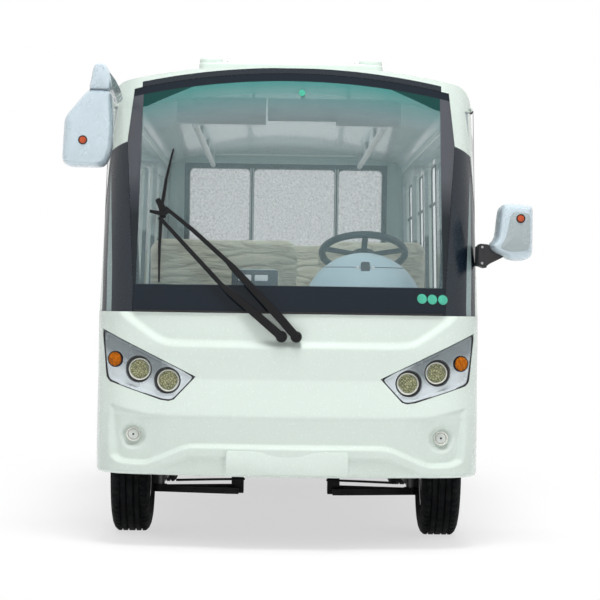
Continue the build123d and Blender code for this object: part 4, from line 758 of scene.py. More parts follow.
def front_mesh(name, s, z, depth, outline, sides, keep, rim, test):
    """A mesh over a grid of the front skin, cut by an outline, with its open edges turned inwards."""
    x, y = skin(s, z, LOWER, depth, 0.004)[:2]
    rows, cols = s.shape
    verts = list(zip(*(values.ravel().tolist() for values in (x, y, z))))
    corners = (i * cols + j for i in range(rows - 1) for j in range(cols - 1))

    def change(work):
        for side in sides:
            cut_outline(work, outline, side, keep)
        work.normal_update()
        rim_inwards(work, rim, test)
    return worked_mesh(name, verts, [(k, k + 1, k + cols + 1, k + cols) for k in corners], change)


def grid(rows, cols):
    """A grid's two coordinates, from its rows of heights and its columns."""
    return rows[:, None] * np.ones((1, len(cols))), cols[None, :] * np.ones((len(rows), 1))


def add_nose():
    z, t = grid(np.linspace(SKIRT, BELT, 170), np.linspace(-1, 1, 330))
    s = t * skin(t, z, LOWER, 0.0, 0.009)[2]
    depth = nose_depth(skin(s, z, LOWER, 0.0, 0.009)[0], z)
    mesh = front_mesh("nose_panel", s, z, depth, LAMP_OUTLINE, (1, -1), False, 0.012,
                      lambda p: p.y < SEAM_FRONT - 0.001 and p.z < BELT - 0.001)
    plate = Parts()
    plate.slab((-0.236, FRONT + 0.0055, 0.293), (0.236, FRONT + 0.035, 0.387), 0.004, 1, 0.010)
    finish_piece(mesh, WHITE, "front_mask", sharp=50)
    plate.make("plate_panel", WHITE, "front_mask")


def lamp_depth(x, z):
    """The lamp housing's form behind the skin, with a raised edge and a dish round each lamp."""
    a = np.abs(x)
    depth = 0.004 + 0.006 * ease(-outline_distance(a, z, LAMP_OUTLINE), 0.010, 0.018)
    for lx, lz, r in LAMPS:
        d = np.hypot(a - lx, z - lz)
        depth = depth - 0.004 * (1 - ease(d, r + 0.001, r + 0.008)) + 0.014 * (1 - ease(d, r - 0.004, r))
    return depth


def add_headlamps():
    rings, pales, lenses, ambers, seals, clears = several(6)
    tight = shrunk(LAMP_OUTLINE, 0.003)
    for side, name in ((1, "lamp_housing_left"), (-1, "lamp_housing_right")):
        z, x = grid(np.linspace(0.57, 0.853, 110), side * np.linspace(0.353, 0.735, 150))
        mesh = front_mesh(name, around(x, z, LOWER), z, lamp_depth(x, z), tight, (side,), True, 0.02, lambda p: True)
        finish_piece(mesh, LAMP_SILVER, "headlamp_units", sharp=40)
        outline = smooth_outline(shrunk(LAMP_OUTLINE, 0.0015), 2)
        seals.sweep([on_front(side * x, z, 0.0035) for x, z in outline], 0.0042, closed=True, segments=8)
        for x, z, r in LAMPS[:2]:
            seat = on_front(side * x, z, 0.022)
            face = on_front(side * x, z, 0.004)
            seat.y = max(seat.y, face.y + 0.012)
            deep = seat.y - face.y
            rings.lathe(seat, AHEAD, [(r, 0), (r, deep + 0.002), (r - 0.002, deep + 0.005), (r - 0.005, deep + 0.005),
                                      (r - 0.0075, deep), (r - 0.008, 0.002), (r * 0.5, 0.001)], 48)
            pales.lathe(seat, AHEAD, [(r - 0.008, 0.002), (r - 0.008, deep - 0.001), (r - 0.010, deep + 0.002),
                                      (r - 0.0145, deep - 0.003), (r - 0.0155, 0.003), (r * 0.5, 0.002)], 48)
            lenses.lathe(seat, AHEAD, [(r - 0.0155, 0.003), (r - 0.016, deep - 0.006), (r * 0.5, deep - 0.0035),
                                       (0.006, deep - 0.003), (0.0005, deep - 0.003)], 40)
            middle = (seat.x, seat.y - deep + 0.005, seat.z)
            for bump in arc(middle, r * 0.42, [math.tau * (k + 0.3) / 8 for k in range(8)], 0, 2):
                lenses.lathe(bump, AHEAD, [(r * 0.15, 0), (r * 0.13, 0.002), (r * 0.07, 0.0035), (POINT, 0.004)], 14)
            lenses.lathe(middle, AHEAD, [(r * 0.16, 0), (r * 0.13, 0.003), (POINT, 0.004)], 14)
        x, z, r = LAMPS[2]
        out = (side * 0.40, -0.917, 0)
        face = on_front(side * (x + 0.004), z, 0.012)
        rings.lathe(face, out, [(r + 0.001, -0.012), (r + 0.001, 0.007), (r - 0.001, 0.010), (r - 0.003, 0.009),
                                (r - 0.004, 0.002), (r * 0.5, 0.001)], 48)
        ambers.lathe(face, out, [(r - 0.004, 0.001), (r - 0.004, 0.009), (r * 0.55, 0.013), (POINT, 0.014)], 40)
    for side in (1, -1):
        spot = on_front(side * FOG[0], FOG[1], 0.040)
        r = FOG_R
        pales.lathe(spot, AHEAD, [(r, 0), (r, 0.006), (r - 0.003, 0.008), (r - 0.006, 0.006), (r - 0.007, 0.002),
                                  (r * 0.4, 0.001)], 40)
        clears.lathe(spot, AHEAD, [(r - 0.007, 0.002), (r - 0.009, 0.006), (0.010, 0.009), (0.0005, 0.010)], 32)
        rings.lathe(spot + Vector(AHEAD) * 0.009, AHEAD, [(0.0045, 0), (0.004, 0.003), (POINT, 0.0032)], 14)
    rings.make("lamp_rings", BLACK_PLASTIC, "lamp_lenses")
    pales.make("lamp_bezels", PALE_RING, "lamp_lenses")
    lenses.make("lamp_reflectors", LED_LENS, "lamp_lenses")
    ambers.make("indicator_lenses", AMBER, "lamp_lenses")
    clears.make("fog_lenses", FOG_LENS, "lamp_lenses")
    seals.make("lamp_seals", RUBBER_TRIM)


def shifted(start, points):
    """Points moved by a start, coordinate by coordinate."""
    return [tuple(a + b for a, b in zip(start, p)) for p in points]


def add_mirrors():
    body, caps, glasses, dots, rims, seams, arms, panels, bracket, bolts = several(10)
    # The right mirror hangs from the roof's corner under its own cap
    x0 = -HALF
    outline = shifted((x0, 0), [(-0.128, 1.667), (-0.136, 1.500), (-0.116, 1.477), (0.017, 1.475), (0.038, 1.494),
                                (0.055, 1.542), (0.061, 1.631), (0.052, 1.776), (-0.035, 1.779)])
    middle = (x0 - 0.035, 1.610)
    body.shell(outline, [(1.9, 0.162), (0.010, 0.162), (0.002, 0.165), (0.0, 0.145), (0.0, 0.075), (0.004, 0.050),
                         (0.010, 0.035), (0.017, 0.027), (1.3, 0.022), (1.7, 0.020), (1.97, 0.020)], 84, 2, middle)
    cap = shifted((x0, 0), [(-0.037, 1.767), (-0.018, 1.868), (-0.004, 1.878), (0.022, 1.878), (0.035, 1.864),
                            (0.052, 1.826), (0.053, 1.767)])
    caps.shell(cap, [(1.9, 0.125), (0.006, 0.129), (0.0, 0.120), (0.0, 0.070), (0.003, 0.050), (0.008, 0.038),
                     (1.5, 0.032), (1.97, 0.030)], 60, 2, (x0 + 0.011, 1.822))
    start = (x0, FRONT, 0)
    seams.sweep(shifted(start, [(-0.0300, 0.055, 1.7745), (-0.028, 0.032, 1.7745), (0.048, 0.032, 1.7735),
                                (0.0505, 0.055, 1.7735)]), 0.0018)
    seams.sweep(shifted(start, [(0.027, 0.030, 1.768), (0.032, 0.026, 1.65), (0.029, 0.026, 1.57),
                                (0.016, 0.027, 1.52)]), 0.0012)
    seams.sweep(shifted(start, [(0.030, 0.037, 1.782), (0.022, 0.036, 1.858)]), 0.0010)
    arms.sweep(shifted(start, [(0.035, 0.06, 1.838), (0.042, 0.11, 1.818), (0.050, 0.20, 1.795), (0.052, 0.36, 1.770)]),
               [(0.010, 0.012), (0.016, 0.024), (0.018, 0.026), (0.018, 0.024)])
    glasses.shell(outline, [(0.014, 0.163), (0.014, 0.168), (0.020, 0.169), (1.97, 0.169)], 84, 2, middle)
    markers = [(x0 - 0.052, FRONT + 0.020, 1.576)]
    # The left mirror stands on a bracket at the belt
    x0 = HALF - 0.009
    outline = shifted((x0, 0), [(0.079, 1.348), (0.102, 1.365), (0.205, 1.357), (0.2105, 1.337), (0.210, 1.172),
                                (0.203, 1.153), (0.175, 1.138), (0.119, 1.140), (0.097, 1.153), (0.049, 1.174),
                                (0.038, 1.200), (0.063, 1.225), (0.073, 1.327)])
    middle = (x0 + 0.135, 1.235)
    body.shell(outline, [(1.9, 0.272), (0.010, 0.272), (0.002, 0.275), (0.0, 0.255), (0.0, 0.195), (0.004, 0.174),
                         (0.009, 0.160), (0.015, 0.151), (0.020, 0.147), (1.3, 0.145), (1.97, 0.145)], 96, 2, middle)
    panel = shifted((x0, 0), [(0.119, 1.320), (0.136, 1.331), (0.187, 1.325), (0.195, 1.308), (0.195, 1.190),
                              (0.185, 1.177), (0.123, 1.171), (0.086, 1.181), (0.080, 1.194), (0.102, 1.228)])
    panels.shell(panel, [(0.0, 0.152), (0.0, 0.143), (0.003, 0.1405), (1.97, 0.140)], 72, 3, (x0 + 0.145, 1.245))
    glasses.shell(outline, [(0.013, 0.273), (0.013, 0.278), (0.018, 0.279), (1.97, 0.279)], 96, 2, middle)
    markers.append((x0 + 0.157, FRONT + 0.140, 1.303))
    for spot in markers:
        rims.lathe(spot, AHEAD, [(0.0175, -0.004), (0.0175, 0.002), (0.0155, 0.0035), (0.0138, 0.0015),
                                 (POINT, 0.001)])
        dots.lathe(spot, AHEAD, [(0.0138, 0.001), (0.0125, 0.0035), (0.007, 0.0048), (POINT, 0.005)])
    edge = shifted((HALF, 0), [(-0.014, 1.205), (0.037, 1.201), (0.046, 1.176), (0.095, 1.167), (0.093, 1.155),
                               (0.022, 1.119), (0.022, 1.106), (-0.008, 1.117), (-0.014, 1.116)])
    bracket.shell(edge, [(1.9, 0.325), (0.003, 0.325), (0.0, 0.32), (0.0, 0.195), (0.003, 0.190), (1.97, 0.188)],
                  64, 1, (HALF + 0.020, 1.165))
    for z in (1.190, 1.127):
        bolts.lathe((HALF + 0.003, FRONT + 0.189, z), AHEAD,
                    [(0.0055, -0.002), (0.0055, 0.003), (0.004, 0.005), (POINT, 0.0055)], 14)
    body.make("mirror_shells", MIRROR_SILVER, "mirror_left", "mirror_right", sharp=40)
    # The inner panel is tinted grey as a painted reflection.
    panels.make("mirror_panel", MIRROR_GREY_AND_REFLECTION, sharp=40)
    caps.make("mirror_cap", MIRROR_SILVER, sharp=40)
    for parts, name, material in ((arms, "mirror_arm", MIRROR_GREY_AND_REFLECTION), (glasses, "mirror_faces", MIRROR_GLASS),
                                  (rims, "mirror_marker_rims", RUBBER_TRIM), (dots, "mirror_markers", ORANGE),
                                  (seams, "mirror_seams", SEAM_GREY), (bracket, "mirror_bracket", BLACK_PLASTIC),
                                  (bolts, "bracket_bolts", ZINC)):
        parts.make(name, material)


# Each wiper arm's places from foot to head, seen from the front
WIPER_ARMS = (((-0.028, 0.829), (-0.073, 0.873), (-0.258, 1.024), (-0.385, 1.158), (-0.508, 1.287)),
              ((0.028, 0.829), (0.000, 0.886), (-0.240, 1.118), (-0.375, 1.238), (-0.486, 1.326)))
BLADE = ((-0.462, 1.560), (-0.487, 1.44), (-0.503, 1.318), (-0.507, 1.17), (-0.506, 1.034))


def add_wiper():
    arms, blade, caps = several(3)
    for foot, near, knee, mid, head in WIPER_ARMS:
        foot, knee = on_front(*foot, -0.018), on_glass(*knee, 0.028)
        near = foot.lerp(knee, 0.2) + Vector((near[0] - foot.x, 0, near[1] - foot.z)) * 0.15
        path = [foot, near, knee.lerp(near, 0.12), knee, on_glass(*mid, 0.024), on_glass(*head, 0.018)]
        sizes = [(0.0165, 0.010)] * 2 + [(0.0135, 0.009), (0.0095, 0.007), (0.0088, 0.006), (0.0075, 0.006)]
        arms.sweep(path, sizes, flat=AHEAD, segments=12)
        caps.lathe(foot + Vector(AFT) * 0.016, AHEAD, [(0.017, -0.012), (0.0215, -0.006), (0.0225, 0.012),
                                                       (0.020, 0.019), (0.012, 0.023), (POINT, 0.024)])
    sizes = [(0.0035, 0.006), (0.006, 0.009), (0.0075, 0.011), (0.006, 0.008), (0.003, 0.005)]
    blade.sweep([on_glass(x, z, 0.012) for x, z in BLADE], sizes, flat=AHEAD)
    blade.sweep([on_glass(x, z, 0.004) for x, z in BLADE], (0.0018, 0.005), flat=AHEAD)
    hinge = on_glass(-0.500, 1.330, 0.020)
    blade.sweep([hinge + Vector((-0.018, 0, 0.03)), hinge, hinge + Vector((0.010, 0, -0.045))],
                [(0.010, 0.008), (0.014, 0.010), (0.009, 0.008)], flat=AHEAD)
    blade.sweep([on_glass(-0.545, 1.312, 0.02), on_glass(-0.49, 1.30, 0.022), on_glass(-0.465, 1.318, 0.02)],
                [(0.006, 0.006), (0.010, 0.008), (0.006, 0.006)], flat=AHEAD)
    for parts, name in ((arms, "wiper_arms"), (blade, "wiper_blade"), (caps, "wiper_caps")):
        parts.make(name, WIPER_BLACK, "wiper")


def add_glass_marks():
    discs, dark = several(2)
    for x, z in ((0.518, 0.983), (0.559, 0.981), (0.601, 0.980)):
        out = (math.sin(x / 2), -math.cos(x / 2), 0.22)
        discs.lathe(on_glass(x, z, 0.0), out, [(0.0195, -0.001), (0.0195, 0.0015), (0.018, 0.002), (POINT, 0.002)])
    discs.lathe(on_glass(0.039, 1.790, 0.0), (0, -1, 0.22), [(0.013, -0.001), (0.013, 0.001), (POINT, 0.0012)])
    discs.make("glass_discs", GREEN_DISC)
    edge = [on_glass(-0.60 + 1.2 * k / 16, 0.921, 0.002) for k in range(17)]
    dark.sweep(edge, (0.004, 0.005), flat=AHEAD, segments=8)
    dark.make("screen_gasket", RUBBER_TRIM)


# Side openings and running gear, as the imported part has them
CAB_DOOR = (-1.350, -0.640)
SALOON_DOOR = (-0.560, 0.190)
DOOR_Z = (0.320, 1.690)
WINDOW_Z = (0.965, 1.655)
BEAM = 0.09             # Between two window bays
AXLES_Y = (-1.75, 0.95)
WHEEL_X, WHEEL_R = 0.636, 0.28
SALOON_ROWS = 3


def wall_x(z):
    """The side wall's half width at a height."""
    return float(level(z, LOWER if z < BELT else UPPER, 2))


def on_wall(side, y, z, off):
    return (side * (wall_x(z) + off), y, z)


def side_bays():
    rows = []
    for side, rear in ((1, CAB_DOOR[1]), (-1, SALOON_DOOR[1])):
        rows.append((side, -2.060, -1.440))
        start = rear + BEAM
        pitch = (SEAM_REAR - 0.10 + BEAM - start) / 3
        rows += [(side, start + i * pitch, start + (i + 1) * pitch - BEAM) for i in range(3)]
    return rows


def side_ring(side, y0, y1, z0, z1, r, off):
    return [on_wall(side, y + (y0 + y1) / 2, z + (z0 + z1) / 2, off)
            for y, z in round_rect((y1 - y0) / 2, (z1 - z0) / 2, r, 6)]


def add_door_details(side, name, y0, y1):
    out, body = (side, 0, 0), "door_" + name
    pull, cup, key, ring, inner = several(5)
    y, z = y1 - 0.10, 0.826
    cup.wall_slab(side, (0.7515, 0.7585), (y - 0.085, y + 0.045), (0.795, 0.850), 0.002, 0.016)
    pull.sweep([(side * x, y + dy, z) for x, dy in ((0.756, -0.072), (0.768, -0.060), (0.768, 0.006), (0.756, 0.018))],
               (0.007, 0.005), flat=out, segments=12)
    key.stud((side * 0.757, y + 0.031, 0.815), out, 0.008, 0.002)
    cup.make("handle_plate_" + name, BLACK_PLASTIC, body=body)
    pull.make("handle_" + name, CHROME, body=body)
    key.make("lock_" + name, CHROME, body=body)
    ring.sweep(side_ring(side, y0 + 0.075, y1 - 0.075, WINDOW_Z[0], WINDOW_Z[1] - 0.04, 0.045, -0.001), (0.007, 0.004),
               closed=True, flat=out)
    gap = 0.014
    ring.sweep(side_ring(side, y0 + gap, y1 - gap, DOOR_Z[0] + gap, DOOR_Z[1] - gap, 0.02, -0.0005), (0.003, 0.0016),
               closed=True, flat=out, segments=6)
    ring.make("door_gasket_" + name, RUBBER_TRIM, body=body)
    inner.wall_slab(side, (0.7075, 0.7125), (y0 + 0.05, y1 - 0.06), (0.46, 0.90), 0.002, 0.03)
    inner.make("door_trim_" + name, TRIM_GREY, body=body)


def add_sides():
    gaskets, frames, seams, sills, lips, markers, flaps = several(7)
    for side, y0, y1 in side_bays():
        out = (side, 0, 0)
        ring = side_ring(side, y0, y1, *WINDOW_Z, 0.045, -0.001)
        gaskets.sweep(ring, (0.007, 0.004), closed=True, flat=out)
        if y1 - y0 > 0.7:
            middle = (y0 + y1) / 2
            path = [on_wall(side, middle, z, -0.012) for z in (WINDOW_Z[0] + 0.004, 1.3, WINDOW_Z[1] - 0.004)]
            frames.sweep(path, (0.011, 0.004), flat=out)
            path = [on_wall(side, y, 1.46, -0.012) for y in (y0 + 0.006, middle, y1 - 0.006)]
            frames.sweep(path, (0.008, 0.004), flat=out)
    for side in (1, -1):
        out = (side, 0, 0)
        for y in (SEAM_FRONT, SEAM_REAR):
            path = [on_wall(side, y, z, -0.0006) for z in (SKIRT + 0.002, 0.6, 0.916, 0.918, 1.3, SEAM_ROOF)]
            seams.sweep(path, (0.0022, 0.0011), flat=out, segments=6)
        path = [on_wall(side, y, SEAM_ROOF, 0.0005) for y in np.linspace(SEAM_FRONT + 0.01, SEAM_REAR, 12)]
        seams.sweep(path, (0.004, 0.0012), flat=out, segments=8)
        for y, r in zip(AXLES_Y, (0.352, 0.322)):
            path = arc((side * 0.7525, y, WHEEL_R), r, [math.pi * k / 40 for k in range(41)])
            lips.sweep([(x, y, max(z, SKIRT + 0.002)) for x, y, z in path], (0.009, 0.006), flat=out, segments=8)
        doors = {"driver": CAB_DOOR} if side > 0 else {"front_passenger": CAB_DOOR, "saloon": SALOON_DOOR}
        ends = [-1.40, *(y for door in doors.values() for y in door), 0.62, 1.28, SEAM_REAR]
        for a, b in zip(ends[::2], ends[1::2]):
            sills.wall_slab(side, (0.748, 0.7565), (a + 0.004, b - 0.004), (SKIRT + 0.001, 0.330), 0.002, 0.004)
        for y in (-1.395, 0.45, 2.25) if side > 0 else (0.45, 2.25):
            markers.wall_slab(side, (0.751, 0.7585), (y - 0.032, y + 0.032), (0.560, 0.582), 0.002, 0.006)
        for name, door in doors.items():
            add_door_details(side, name, *door)
    flap = side_ring(1, 1.66, 1.90, 0.60, 0.80, 0.025, 0.0)
    flaps.sweep(flap, (0.0025, 0.0014), closed=True, flat=(1, 0, 0), segments=6)
    flaps.stud((0.752, 1.87, 0.70), (1, 0, 0), 0.010, 0.003)
    for parts, name, material in (
            (gaskets, "window_gaskets", RUBBER_TRIM), (frames, "window_frames", BLACK_PLASTIC),
            (seams, "panel_seams", RUBBER_TRIM), (sills, "sill_trims", BLACK_PLASTIC), (lips, "arch_lips", RUBBER_TRIM),
            (markers, "side_markers", AMBER), (flaps, "charge_flap_seam", RUBBER_TRIM)):
        parts.make(name, material)


# Half of a tyre's section from its bead to its tread: distance from the middle plane, and radius
TYRE_HALF, TREAD_R, SHOULDER_R = 0.080, 0.2800, 0.262
TYRE_PROFILE = [(0.062, 0.1605), (0.0615, 0.173), (0.077, 0.198), (0.080, 0.222), (0.079, 0.240), (0.077, 0.250),
                (0.069, 0.268), (0.060, 0.2765), (0.054, TREAD_R), (0.047, TREAD_R)]
LUGS = 60


def add_wheels():
    """Tyres with tread blocks, and the wheels' nuts and caps."""
    outer = list(TYRE_PROFILE)
    for g in (0.040, 0.015, -0.015, -0.040):
        outer += [(g + 0.0042, TREAD_R), (g + 0.0030, 0.2725), (g - 0.0030, 0.2725), (g - 0.0042, TREAD_R)]
    outer += [(-x, r) for x, r in TYRE_PROFILE[-2::-1]]
    places = [(f"{end}_{hand}", side, y) for end, y in zip(("front", "rear"), AXLES_Y)
              for hand, side in (("left", 1), ("right", -1))]
    for name, side, y in places:
        body, out = "wheel_" + name, (side, 0, 0)
        cx = side * WHEEL_X
        tread, nuts, cap = several(3)
        rings = []
        for k in range(LUGS * 4):
            turn = math.tau * (k + (0.35 if k % 4 == 1 else 0.0)) / (LUGS * 4)
            ring = []
            for x, r in outer:
                skew = 0.010 * abs(x) / TYRE_HALF if r > SHOULDER_R else 0.0
                if k % 4 == 0 and r > SHOULDER_R and abs(x) > 0.0441:
                    r = min(r, 0.2735)
                ring += arc((cx + side * x, y, WHEEL_R), r, [turn + skew])
            rings.append(ring)
        rings.append(rings[0])
        tread.rings(rings, closed=False, caps=(False, False))
        for x, r in ((0.0775, 0.205), (0.0796, 0.228)):
            for s in (1, -1):
                ring = arc((cx + s * x, y, WHEEL_R), r, whole_turn(96))
                tread.sweep(ring, (0.0008, 0.0016), closed=True, segments=6, flat=(1, 0, 0))
        tread.make("tread_" + name, RUBBER, "tyre_" + name, body=body, sharp=28)
        for place in arc((side * 0.653, y, WHEEL_R), 0.060, whole_turn(6)):
            nuts.lathe(place, out, [(0.0105, -0.004), (0.0105, 0.010), (0.0085, 0.013), (0.006, 0.013), (0.006, 0.017),
                                    (POINT, 0.018)], 6)
        cap.lathe((side * 0.6655, y, WHEEL_R), out, [(0.043, -0.001), (0.043, 0.008), (0.039, 0.014), (0.030, 0.017),
                                                     (POINT, 0.018)], 40)
        nuts.sweep([arc((side * x, y, WHEEL_R), 0.146, [0.5])[0] for x in (0.648, 0.690)], 0.004)
        nuts.make("wheel_nuts_" + name, ZINC, body=body)
        cap.make("hub_cap_" + name, ALLOY_BRIGHT, body=body)


def cushion_form(low, high, lean):
    """A closed block inside a cushion's space, leaning back by a distance at its top."""
    inset = 0.010

    def change(work):
        bmesh.ops.create_cube(work, size=1)
        bmesh.ops.bevel(work, geom=work.edges[:], offset=0.09, segments=3, affect="EDGES", profile=0.5)
        for v in work.verts:
            share = v.co.z + 0.5
            for i in range(3):
                a, b = low[i] + inset, high[i] - inset
                v.co[i] = (a + b) / 2 + v.co[i] * (b - a)
            v.co.y += lean * share
    return put("seat_form", worked_mesh("seat_form", [], [], change))


def final_mesh(obj):
    """The mesh that an object's modifiers make."""
    return bpy.data.meshes.new_from_object(obj.evaluated_get(bpy.context.evaluated_depsgraph_get()))


def inflated(obj, voxel, cap):
    """The block swollen by air pressure as cloth, with each point's travel capped."""
    remesh = obj.modifiers.new("remesh", "REMESH")
    remesh.mode = "VOXEL"
    remesh.voxel_size = voxel
    start = final_mesh(obj)
    obj.modifiers.clear()
    obj.data = start
    steps = 20
    cloth = obj.modifiers.new("cloth", "CLOTH")
    cloth.settings.use_pressure = True
    cloth.settings.uniform_pressure_force = 4
    cloth.settings.effector_weights.gravity = 0
    cloth.point_cache.frame_end = steps
    for step in range(1, steps + 1):
        bpy.context.scene.frame_set(step)
    blown = final_mesh(obj)
    obj.modifiers.clear()
    for v, home in zip(blown.vertices, [v.co.copy() for v in start.vertices]):
        travel = v.co - home
        if travel.length > cap:
            v.co = home + travel * (cap / travel.length)
    obj.data = blown
    bpy.context.scene.frame_set(1)


def creased(mesh, height, scale):
    """Shallow folds of a loose cover."""
    for v, normal in [(v, v.normal.copy()) for v in mesh.vertices]:
        q = Vector([a * b for a, b in zip(v.co, scale)])
        v.co = v.co + normal * height * (noise.noise(q) + 0.5 * noise.noise(q * 2.3))


def seat_mesh(kind, wide):
    """A cushion or a back of a width, from its left end."""
    base_z, rise = 0.640, 0.622
    if kind == "cushion":
        obj = cushion_form((0, -0.5203, base_z), (wide, -0.0903, base_z + 0.120), 0.0)
    else:
        obj = cushion_form((0, -0.090, base_z), (wide, 0.0, base_z + rise), rise * math.tan(math.radians(9)))
    inflated(obj, 0.016, 0.012)
    creased(obj.data, 0.0035, (5, 9, 16))
    more = obj.modifiers.new("smooth", "SUBSURF")
    more.levels = more.render_levels = 1
    mesh = final_mesh(obj)
    bpy.data.objects.remove(obj)
    return mesh


def add_seats():
    """Cushions and backs: each size is made once, then copied to its rows."""
    forms = {}
    rows = [(-1.0, 0.120, 0.640, "front_seats"), (-1.0, -0.640, 0.060, "front_seats")]
    rows += [(-1.0 + 0.8 * (i + 1), -0.330, 0.660, "saloon_seats") for i in range(SALOON_ROWS)]
    rows.append((2.36, -0.660, 0.660, "saloon_seats"))
    first = bpy.context.scene.frame_current
    for n, (y, x0, x1, node) in enumerate(rows):
        wide = round(x1 - x0, 3)
        for kind in ("cushion", "back"):
            if (kind, wide) not in forms:
                forms[kind, wide] = seat_mesh(kind, wide)
            mesh = forms[kind, wide].copy()
            mesh.name = f"seat_{kind}_{n + 1}"
            mesh.transform(Matrix.Translation((x0, y, 0)))
            finish_piece(mesh, SEAT_COVER, node, sharp=180)
    bpy.context.scene.frame_set(first)


def add_cabin():
    """Details of the dashboard and console that show through the glass."""
    dark, white, seam = several(3)
    # Dome: a seam round it and a small knob with two studs
    cx, cy, top, z = 0.300, FRONT + 0.420, 1.166, 1.105
    rise = 0.166
    ball_r = (0.232 ** 2 + rise ** 2) / (2 * rise)
    ring_r = math.sqrt(ball_r ** 2 - (z - (top - ball_r)) ** 2)
    turns = [math.pi * (1.08 + 0.84 * k / 40) for k in range(41)]
    seam.sweep(arc((cx, cy, z), ring_r, turns, 0, 1), 0.0018, segments=6)
    y = cy - ring_r
    dark.slab((cx - 0.018, y - 0.016, z - 0.020), (cx + 0.018, y + 0.02, z + 0.022), 0.004, 1, 0.008)
    for x in (cx - 0.030, cx + 0.030):
        white.lathe((x, y + 0.004, z - 0.003), AHEAD,
                    [(0.0075, 0), (0.0075, 0.006), (0.005, 0.009), (POINT, 0.0095)], 16)
    # Console: dark front with two blank labels
    front = FRONT + 0.380
    dark.slab((-0.231, front - 0.002, 1.002), (-0.045, front + 0.006, 1.090), 0.002, 1, 0.006)
    for x in (-0.178, -0.112):
        white.slab((x - 0.026, front - 0.0035, 1.046), (x + 0.026, front - 0.001, 1.070), 0.0006, 1, 0.003)
    # Dashboard's air slots
    for x in (-0.45, -0.33, -0.21):
        dark.slab((x, FRONT + 0.30, 0.9995), (x + 0.09, FRONT + 0.33, 1.0025), 0.0008, 2, 0.006)
    dark.make("dash_details", DARK_GREY)
    white.make("dash_labels", LABEL_WHITE)
    seam.make("dome_seam", DARK_GREY)


def add_roof():
    slots, gutter = several(2)
    for side in (1, -1):
        for k in range(9):
            y = -1.15 + 0.11 * k
            for z in (1.955, 1.985):
                slots.wall_slab(side, (0.4035, 0.4047), (y, y + 0.075), (z, z + 0.017), 0.0004, 0.006)
    for x in (-0.28, 0.28):
        slots.slab((x - 0.001, -1.249, 2.0185), (x + 0.001, -0.11, 2.019), 0.0003, 2, 0.0005)
    for k in range(12):
        x = -0.22 + 0.04 * k
        slots.slab((x - 0.011, -0.55, 2.0180), (x + 0.011, -0.20, 2.0192), 0.0004, 2, 0.006)
    for side in (1, -1):
        path = [(side * 0.7285, y, 1.752) for y in np.linspace(-2.1, 2.36, 14)]
        gutter.sweep(path, (0.006, 0.0035), flat=(side, 0, 0), segments=8)
    slots.make("pod_slots", DARK_GREY)
    gutter.make("roof_gutters", WHITE)


def rear_ring(parts, x, y, z, w, h, r, section, steps=6):
    """A frame on the rear face, round a middle."""
    ring = [(x + dx, y, z + dz) for dx, dz in round_rect(w, h, r, steps)]
    parts.sweep(ring, section, closed=True, flat=AFT)


def add_rear():
    rubber, plate, bolts, bezels, lens, grip = several(6)
    face = 2.5505
    for x0, x1 in ((-0.580, -0.213), (-0.195, 0.296), (0.314, 0.580)):
        rear_ring(rubber, (x0 + x1) / 2, face, REAR_MIDDLE_Z, (x1 - x0) / 2, REAR_HALF_Z, 0.03, (0.004, 0.003))
    rear_ring(rubber, 0, face, REAR_MIDDLE_Z, 0.606, 0.345, 0.045, (0.003, 0.0016))
    plate.slab((-0.22, 2.5715, 0.325), (0.22, 2.5740, 0.445), 0.0008, 1, 0.010)
    for x in (-0.17, 0.17):
        bolts.lathe((x, 2.5735, 0.425), AFT, [(0.006, 0), (0.006, 0.0008), (0.004, 0.0012), (POINT, 0.0013)], 16)
    for side in (1, -1):
        rear_ring(bezels, side * 0.6325, 2.5555, 0.7725, 0.0535, 0.1325, 0.012, (0.004, 0.003), 4)
        lens.slab((side * 0.58 - 0.05, 2.5690, 0.425), (side * 0.58 + 0.05, 2.5725, 0.447), 0.0012, 1, 0.005)
    grip.slab((-0.06, 2.549, 0.985), (0.06, 2.556, 1.025), 0.002, 1, 0.012)
    for parts, name, material in ((rubber, "rear_gaskets", RUBBER_TRIM), (plate, "blank_plate", LABEL_WHITE),
                                  (bolts, "plate_bolts", ZINC), (bezels, "tail_bezels", BLACK_PLASTIC),
                                  (lens, "rear_reflectors", RED_LENS), (grip, "rear_vent", BLACK_PLASTIC)):
        parts.make(name, material)


def add_underside():
    bolts, hoses, webs = several(3)
    for side in (1, -1):
        webs.sweep([(side * x, -1.803, z) for x, z in ((0.170, 0.224), (0.30, 0.221), (0.455, 0.216))],
                   [(0.004, 0.020), (0.004, 0.022), (0.004, 0.024)], flat=AHEAD, segments=12)
        x, y = side * 0.42, AXLES_Y[1]
        for dy in (-0.03, 0.03):
            for dx in (-0.03, 0.03):
                bolts.sweep([(x + dx, y + dy, z) for z in (0.238, 0.350)], 0.006, segments=8)
        bolts.slab((x - 0.04, 0.905, 0.232), (x + 0.04, 0.995, 0.244), 0.002, 2, 0.006)
        hose = ((0.53, 0.96, 0.29), (0.49, 1.02, 0.31), (0.46, 1.06, 0.35), (0.345, 1.06, 0.375))
        hoses.sweep([(side * x, y, z) for x, y, z in hose], 0.005, segments=8)
        for y in (-0.40, 0.0, 0.40):
            bolts.lathe((side * 0.3305, y, 0.31), (side, 0, 0),
                        [(0.011, -0.001), (0.011, 0.006), (0.007, 0.008), (POINT, 0.0085)], 6)
    for k in range(6):
        ring = arc((0, 1.085 + 0.035 * k, WHEEL_R), 0.0955, whole_turn(48), 0, 2)
        bolts.sweep(ring, (0.0022, 0.003), closed=True, segments=6, flat=AFT)
    bolts.make("underside_bolts", STEEL)
    hoses.make("brake_hoses", RUBBER_TRIM)
    webs.make("arm_webs", CHASSIS)


